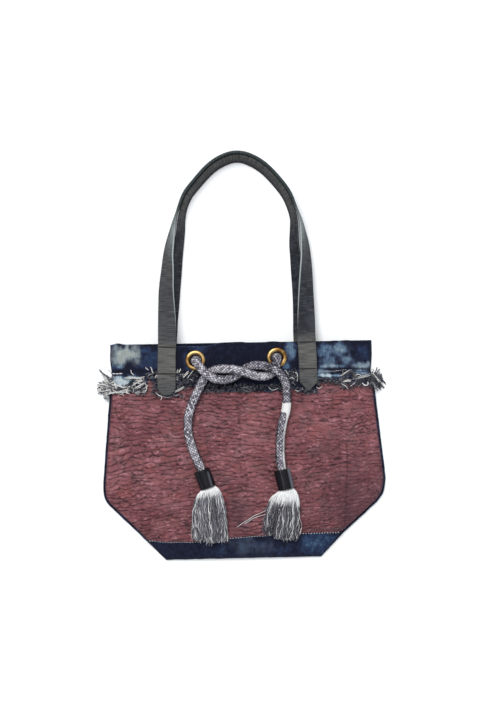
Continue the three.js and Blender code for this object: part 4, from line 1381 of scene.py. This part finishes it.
def make_fringe_strands(finish):
    """The strands that stand out of the fringe, and the single threads that point away from it."""
    random = np.random.default_rng(73)
    steps = strand_steps
    lines, shades, radii = [], [], []
    for shade, count, *path in strands:
        course = photo_course(path, steps)[:, :2]
        for _ in range(count):
            spread = 0.25 if count == 1 else 0.9
            moved = course + random.normal(0, spread, 2)
            wave = random.uniform(0, tau)
            moved = moved + 0.35 * np.sin(wave + np.linspace(0, 7, steps))[:, None]
            rise = np.sin(np.linspace(0.2, 2.9, steps)) * 0.8 + random.uniform(2.2, 3.6)
            z = drape_height(moved[:, 0], moved[:, 1]) + rise
            lines.append(np.concatenate([moved, z[:, None]], axis=1))
            shades.append(np.full(steps, shade + random.normal(0, 0.05)))
            radii.append(random.uniform(0.5, 0.72) * np.sin(np.linspace(0.5, 2.6, steps)) ** 0.5)
    make_tubes("fringe_strands", np.array(lines), np.array(radii), 6, finish,
               {"shade": np.clip(np.array(shades), 0, 1)})


def make_fringe_back(finish):
    random = np.random.default_rng(75)
    count, steps = 1100, 6
    start = np.stack([random.uniform(-180, 180, count), random.uniform(-46, -24, count)], axis=-1)
    under_strap = np.min(np.abs(start[:, 0:1] - np.array(strap_lift_centres)), axis=1) < 15
    start = start[~under_strap]
    count = len(start)
    heading = -math.pi / 2 + random.normal(0, 0.8, count)
    length = random.uniform(6, 14, count)
    x, y = wandering_threads(random, start, heading, length, 0.8, steps)
    y = np.maximum(y, -57)
    z = np.maximum(back_lift(x, y) - fringe_lift, 0) + random.uniform(0.5, 1.5, (count, 1))
    radii = random.uniform(0.3, 0.45, (count, 1)) * np.ones((1, steps))
    shade = random.beta(1.3, 1.5, (count, 1))
    piece = make_tubes("fringe_back_threads", np.stack([x, y, z], axis=-1), radii, 5, finish,
                       {"shade": shade})
    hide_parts("fringe_back")


# Straps

def rounded_tip(distance):
    """Share of a strap's width near its rounded point."""
    share = np.clip(distance / 13, 0, 1)
    return np.clip(0.16 + 0.84 * np.sqrt(1 - (1 - share) ** 2.1), 0, 1)


def pointed_tip(distance):
    """Share of a strap's width near its pointed end."""
    return np.clip(0.14 + 0.86 * (distance / 11.5), 0, 1)


def strap_section():
    """Across, out of the face, and raw edge, for each point round a strap's section."""
    flat = np.linspace(-strap_flat, strap_flat, 13)
    corner = np.linspace(0, math.pi, 9)[1:-1]
    bulge = strap_flat + (1 - strap_flat) * np.sin(corner)
    right = np.stack([bulge, np.cos(corner)], axis=-1)
    top = np.stack([flat, np.ones(13)], axis=-1)
    ring = np.concatenate([top, right, -top, -right])
    edge = np.clip((np.abs(ring[:, 0]) - 0.9) / 0.05, 0, 1) * (np.abs(ring[:, 1]) < 0.93)
    return ring[:, 0], ring[:, 1], edge


def strap_course(leg, tips):
    """Places down a strap with its turn at each, closer together at its tips and grooves."""
    (left_x, left_y), (right_x, right_y), tip_z, tip_turn = tips
    left = [(strap_axis - out, y, z, turn) for y, out, _, z, turn in leg]
    right = [(strap_axis + out, y, z, turn) for y, _, out, z, turn in reversed(leg)]
    route = [
        (left_x, left_y, tip_z, tip_turn), (left_x, left_y + strap_shoulder, tip_z, tip_turn), *left,
        *right, (right_x, right_y + strap_shoulder, tip_z, tip_turn), (right_x, right_y, tip_z, tip_turn),
    ]
    stations, line = smooth_line(route, 2.0)
    near_grooves = [np.arange(-2, 2.1, 0.4) + groove for groove in strap_grooves]
    near = np.concatenate([np.linspace(0, 14, 15), *near_grooves])
    fine = np.unique(np.concatenate([near, stations[8:-8], stations[-1] - near]).round(3))
    return fine, stations[-1], np.array([np.interp(fine, stations, column) for column in line.T]).T


def strap_directions(line, face_sign):
    """Directions out of a strap's face and across it."""
    along = np.gradient(line[:, :3], axis=0)
    along[:, 2] = 0
    along = unit(along)
    outward = np.stack([-along[:, 1], along[:, 0], np.zeros(len(along))], axis=-1)
    turn = np.radians(line[:, 3])[:, None]
    face = np.array([0, 0, face_sign]) * np.cos(turn) + outward * np.sin(turn)
    return face, np.cross(face, along)


def strap_marks(stations, from_end, section, front):
    """Marks of a strap: dusty ends, a greenish arch, worn edges with a painted highlight on the upper one,
    the painted sheen of its twist, and on the back strap's arch painted light above and painted shade
    towards its inner edge.
    """
    across, out, edge = section
    dusty = 0.95 * (1 - smooth(from_end, 64, 84)) * mix(0.55, 1, smooth(from_end, 8, 36))
    arch = smooth(from_end, 215, 265)
    left_leg = 1 - smooth(stations, 190, 240)
    dusty = np.maximum(dusty, left_leg * (0.34 if front else 0.1))
    # The back strap's arch is painted lighter, as painted light on its steep inner face.
    dusty = np.maximum(dusty, arch * (0 if front else 0.85))
    # Painted sheen on the face where the front strap twists.
    twist = ridge(from_end - 226, 22)[:, None] * smooth(-across, -0.9, 0.8)
    # The worn edge is painted pale only along its upper corner, as a painted highlight.
    high_edge = edge * (across < 0) * (np.abs(out) < 0.5)
    edge_wear_and_highlight = smooth(from_end, 78, 120) * mix(1, 0.04, arch) * (1 if front else 0.12)
    return {
        "along": np.repeat(stations, len(across)),
        "across": np.tile(across * strap_width / 2, len(stations)),
        "edge": high_edge[None, :] * edge_wear_and_highlight[:, None],
        "dusty": np.repeat(dusty, len(across)),
        "green": np.repeat(arch * (1 if front else 0.25), len(across)),
        "sheen": twist * (out > 0.5) * (0.75 if front else 0),
        "shaded": arch[:, None] * smooth(across, -0.5, 0.9) * (0 if front else 0.9),
    }


def make_strap(name, leg, tips, face_sign, finish):
    """A strap of rounded section from its left point over the arch to its right point."""
    stations, total, line = strap_course(leg, tips)
    face, side = strap_directions(line, face_sign)
    width = strap_width * np.minimum(rounded_tip(stations), pointed_tip(total - stations))
    width = width * (1 + 0.012 * noise_along(stations, 30, 81))
    section = across, out, _ = strap_section()
    from_end = np.minimum(stations, total - stations)
    crush = sum(ridge(from_end - groove, groove_width) for groove in strap_grooves)
    groove = crush[:, None] * (out > 0.5) * (np.abs(across) < 0.93)
    places = (
        line[:, None, :3]
        + side[:, None] * (across[None, :, None] * (width[:, None, None] / 2 - 0.01))
        + face[:, None] * out[None, :, None] * (strap_thickness / 2)
        - face[:, None] * groove[..., None] * groove_depth
    )
    marks = strap_marks(stations, from_end, section, face_sign > 0)
    # The grooves are painted nearly black, as painted shade.
    marks["groove"] = groove * 0.9
    faces = tube_faces(len(line), len(across), False)
    piece = make_piece(name + "_leather", places, faces, finish, marks)
    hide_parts(name)
    return stations, total, line, side, face


def make_strap_stitches(name, course, finish):
    """Rows of stitches across a strap's ends, sunk in their grooves."""
    stations, total, line, side, face = course
    steps = np.linspace(0, 2.0, 5)[:, None]
    sag = (0.16 - 0.15 * np.linspace(-1, 1, 5) ** 4)[:, None]
    lines = []
    for groove in strap_grooves:
        for spot in (groove, total - groove):
            i = int(np.argmin(np.abs(stations - spot)))
            height = face[i] * (strap_thickness / 2 - 0.3 + sag)
            for start in np.linspace(-8.6, 6.6, 7):
                lines.append(line[i, :3] + side[i] * (start + steps) + height)
    radii = np.full((len(lines), 5), 0.34)
    shade = np.full((len(lines), 1), 0.06)
    make_tubes(name, np.array(lines), radii, 6, finish, {"shade": shade})


# Eyelets

def make_eyelet(side, finish):
    """A rolled brass ring through the band, with a flat washer behind."""
    x, y = eyelets[side]
    reach = eyelet_rim
    slope_x = (front_height(x + reach, y) - front_height(x - reach, y)) / (2 * reach)
    slope_y = (front_height(x, y + reach) - front_height(x, y - reach)) / (2 * reach)
    normal = unit(np.array([-slope_x, -slope_y, 1.0]))
    first = unit(np.cross([0, 1, 0], normal))
    second = np.cross(normal, first)
    base = np.array([x, y, float(front_height(x, y)) + gap])
    middle = (eyelet_rim + eyelet_bore) / 2
    half = (eyelet_rim - eyelet_bore) / 2
    roll = np.linspace(0, math.pi, 15)
    crest = [(middle + half * math.cos(a), 0.25 + 2.0 * math.sin(a) ** 0.9) for a in roll]
    profile = [(eyelet_bore, -3.2), *eyelet_washer, (eyelet_rim - 0.8, -0.1)]

    def place(u, v, height):
        return base + u[..., None] * first + v[..., None] * second + height[..., None] * normal

    piece = make_lathe("eyelet_ring_" + side, crest + profile, place, finish)
    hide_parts("eyelet_" + side)


# Collars and tassels

def collar_profile(length):
    """Radius and height round the wall of a collar, from its far end to its near end."""
    edge = np.linspace(0, math.pi / 2, 5)
    radius = collar_radius - collar_sunk
    return [
        (collar_bore, length - 0.4), (collar_bore + 0.4, length),
        *[(radius - 1 + math.cos(a), length - 1 + math.sin(a)) for a in edge[::-1]],
        *[(radius, length * share) for share in np.linspace(0.12, 0.88, 7)[::-1]],
        *[(radius - 1 + math.sin(a), 1 - math.cos(a)) for a in edge[::-1]],
        (collar_bore + 0.4, 0), (collar_bore, 0.4),
    ]


def collar_sheen_and_wear(side, share):
    """Paler stretches of a collar, by the share of the way down it: round the lapped seam of the right
    one, and a painted sheen line down the left one.
    """
    angle = ring_angles(lathe_sides)
    if side == "right":
        return 0.9 * stretch(angle, 2.2, 2.4, 3.5, 3.9) + 0 * share
    return 0.75 * ridge(angle - 2.3 + 0.2 * share, 0.13) * smooth(share, 0.12, 0.3)


def make_collar(side, finish, stitch_finish):
    """A leather sleeve wrapped round the rope's end, with its lapped seam down one side."""
    start, end = (np.array(place, dtype=float) for place in ends[side][:2])
    seam, stitch_angle, stitch_shade = collar_seams[side]
    length = float(np.linalg.norm(end - start))
    axis = unit(end - start)
    across = unit(np.cross(axis, [0, 0, 1]))
    up = np.cross(across, axis)
    profile = collar_profile(length)

    def ripple(shape, angle):
        lap = ridge(np.angle(np.exp(1j * (angle - seam))), 0.16)
        outer = (shape[:, 0] > collar_bore + 1)[:, None]
        dent = 0.18 * np.sin(angle * 3 + 1)[None, :] * np.sin(shape[:, 1] / 5)[:, None]
        return outer * (0.5 * lap[None, :] * np.ones((len(shape), 1)) + dent)

    def place(u, v, height):
        return start + u[..., None] * across + v[..., None] * up + height[..., None] * axis

    worn = collar_sheen_and_wear(side, np.array(profile)[:, 1:] / length)
    piece = make_lathe("collar_sleeve_" + side, profile, place, finish,
                       {"worn": worn}, ripple)
    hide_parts("collar_" + side)
    rows = np.linspace(2.5, length - 2.5, 8)
    steps = np.linspace(-0.9, 0.9, 5)
    outward = across * math.cos(stitch_angle) + up * math.sin(stitch_angle)
    bow = collar_radius - collar_sunk + 0.12 - 0.25 * (steps / 0.9) ** 4
    lines = start + axis * (rows[:, None, None] + steps[None, :, None]) + outward * bow[None, :, None]
    stitches = make_tubes("collar_stitches_" + side, lines, np.full(lines.shape[:2], 0.3), 6,
                          stitch_finish, {"shade": np.full((len(rows), 1), stitch_shade)})
    return piece, stitches


# Two threads that have come loose from the right tassel, in pixels of the photograph
loose_paths = [
    [(267, 509), (261, 512), (255, 514.5), (248, 519), (241, 523.5), (237, 526.5)],
    [(267, 513), (262, 514.6), (257, 516), (252, 518), (248, 521), (244.5, 523)],
]


def loose_threads():
    courses = np.array([photo_course(path, tassel_steps) for path in loose_paths])
    fall = 0.6 + 2 * np.linspace(1, 0, tassel_steps)
    courses[..., 2] = front_height(courses[..., 0], courses[..., 1]) + fall
    return courses


def tassel_places(random, side, wide, high, go, wave):
    """Places down each strand, from the collar's end to the tassel's tip on the leather."""
    start, neck, tip = (np.array(place, dtype=float) for place in ends[side])
    axis = unit(neck[:2] - start[:2])
    direction = unit(tip - neck[:2])
    width = np.interp(go, *zip(*tassel_width)) / 2
    depth = np.interp(go, *zip(*tassel_depth)) / 2
    centre = neck[:2] + (tip - neck[:2]) * go[..., None]
    heading = unit(mix(axis, direction, np.clip(go * 4, 0, 1)[..., None]))
    pace = random.uniform(8, 34, wave.shape)
    sway = np.sin(wave + pace * go) * random.uniform(0.6, 2.7, wave.shape) * go ** 0.6
    sway = sway + 1.6 * np.sin(2 * wave + 5 * go) * go
    stray = (random.random(wave.shape) < 0.07) * random.normal(0, 6, wave.shape) * go ** 1.6
    offset = wide * width + sway + stray
    x = centre[..., 0] - heading[..., 1] * offset
    y = centre[..., 1] + heading[..., 0] * offset
    lowest = front_height(x, y) + 1.0 + 0.3 * np.hypot(wide, high)
    middle = np.minimum(front_height(centre[..., 0], centre[..., 1]) + 1.2 + depth, neck[2])
    middle = mix(neck[2], middle, smooth(go, 0, 0.35))
    lump = np.sin(wave * 2 + go * 9) * 0.5
    return np.stack([x, y, np.maximum(middle + high * depth + lump, lowest)], axis=-1)


def tassel_shades(random, wide, go, wave, white_to, dark):
    """How light each strand is: white at the neck, then grey with pale strands in streaks."""
    each = wave.shape
    white = 1 - smooth(go + 0.04 * random.normal(0, 1, each), white_to * 0.7, white_to * 1.2)
    streak = smooth(noise_along(wide * 20, 2.2, 94), 0, 0.5)
    pale = random.random(each) < mix(0.08, 0.5, streak)
    tone = np.where(pale, random.uniform(0.8, 1, each), random.beta(1.4, 1.7, each) * dark)
    tone = tone * (0.8 + 0.2 * np.sin(wave * 3 + 22 * go))
    shade = np.maximum(white * random.uniform(0.86, 1.0, each), tone)
    tips = 0.3 * smooth(go, 0.86, 1.0) * (random.random(each) < 0.4)
    return np.clip(shade + tips, 0, 1)


def make_tassel(side, finish):
    """The rope's end unravelled into strands that spread out on the leather."""
    seed, ragged, white_to, dark = tassel_looks[side]
    random = np.random.default_rng(seed)
    each = (tassel_count, 1)
    share = np.linspace(0, 1, tassel_steps)[None, :]
    radius = np.sqrt(random.uniform(0, 1, each))
    angle = random.uniform(0, tau, each)
    wide, high = radius * np.cos(angle), radius * np.sin(angle)
    clumps = smooth(noise_along(wide * 20, 3.4, 93), -0.1, 0.8)
    reach = 1.02 - 0.24 * random.beta(1, 2.4, each) - ragged * clumps
    go = share * (reach + 0.06 * (random.random(each) < 0.03))
    wave = random.uniform(0, tau, each)
    lines = tassel_places(random, side, wide, high, go, wave)
    shade = tassel_shades(random, wide, go, wave, white_to, dark)
    radii = random.uniform(0.34, 0.66, each) * (1 - 0.3 * share)
    if side == "right":
        loose = loose_threads()
        lines = np.concatenate([lines, loose])
        radii = np.concatenate([radii, np.full(loose.shape[:2], 0.36)])
        shade = np.concatenate([shade, np.full(loose.shape[:2], 0.85)])
    piece = make_tubes("tassel_strands_" + side, lines, radii, 5, finish, {"shade": shade})
    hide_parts("tassel_" + side)
    return piece


def build_bag():
    thread = thread_finish("frayed_threads", tint(24, 26, 38), tint(112, 112, 120), tint(232, 230, 226))
    strand = thread_finish("rope_strands", tint(52, 50, 60), tint(136, 134, 142), tint(252, 253, 252))
    stitch = thread_finish("sewing_thread", tint(26, 26, 30), tint(120, 116, 122), tint(240, 238, 240))
    rope = rope_finish()
    collar = collar_finish()
    front_strap = strap_finish("strap_leather_front", 0.3)
    back_strap = strap_finish("strap_leather_back", 0.06)
    brass = brass_finish()
    leather = leather_finish()
    denim = denim_finish("indigo_denim")

    place_camera()
    ropes = {
        "right": make_rope("rope_right", rope_right_route, rope),
        "left": make_rope("rope_left", rope_left_route, rope),
    }
    for side in ("left", "right"):
        sleeve, stitches = make_collar(side, collar, stitch)
        tassel = make_tassel(side, strand)
        piece, line = ropes[side]
        declare_rope(line, line[0])

    make_leather_front(leather)
    for make in (make_band_front, make_band_back, make_denim_back, make_trim, make_edge_roll):
        make(denim)
    for make in (make_fringe_front, make_fringe_strands, make_fringe_back):
        make(thread)
    for side in ("left", "right"):
        make_eyelet(side, brass)

    front_course = make_strap("strap_front", front_strap_leg, front_strap_tips, 1, front_strap)
    back_course = make_strap("strap_back", back_strap_leg, back_strap_tips, -1, back_strap)
    make_strap_stitches("strap_front_stitches", front_course, stitch)
    make_strap_stitches("strap_back_stitches", back_course, stitch)
    make_all_stitches(stitch)


light_studio()
lay_floor()
build_bag()
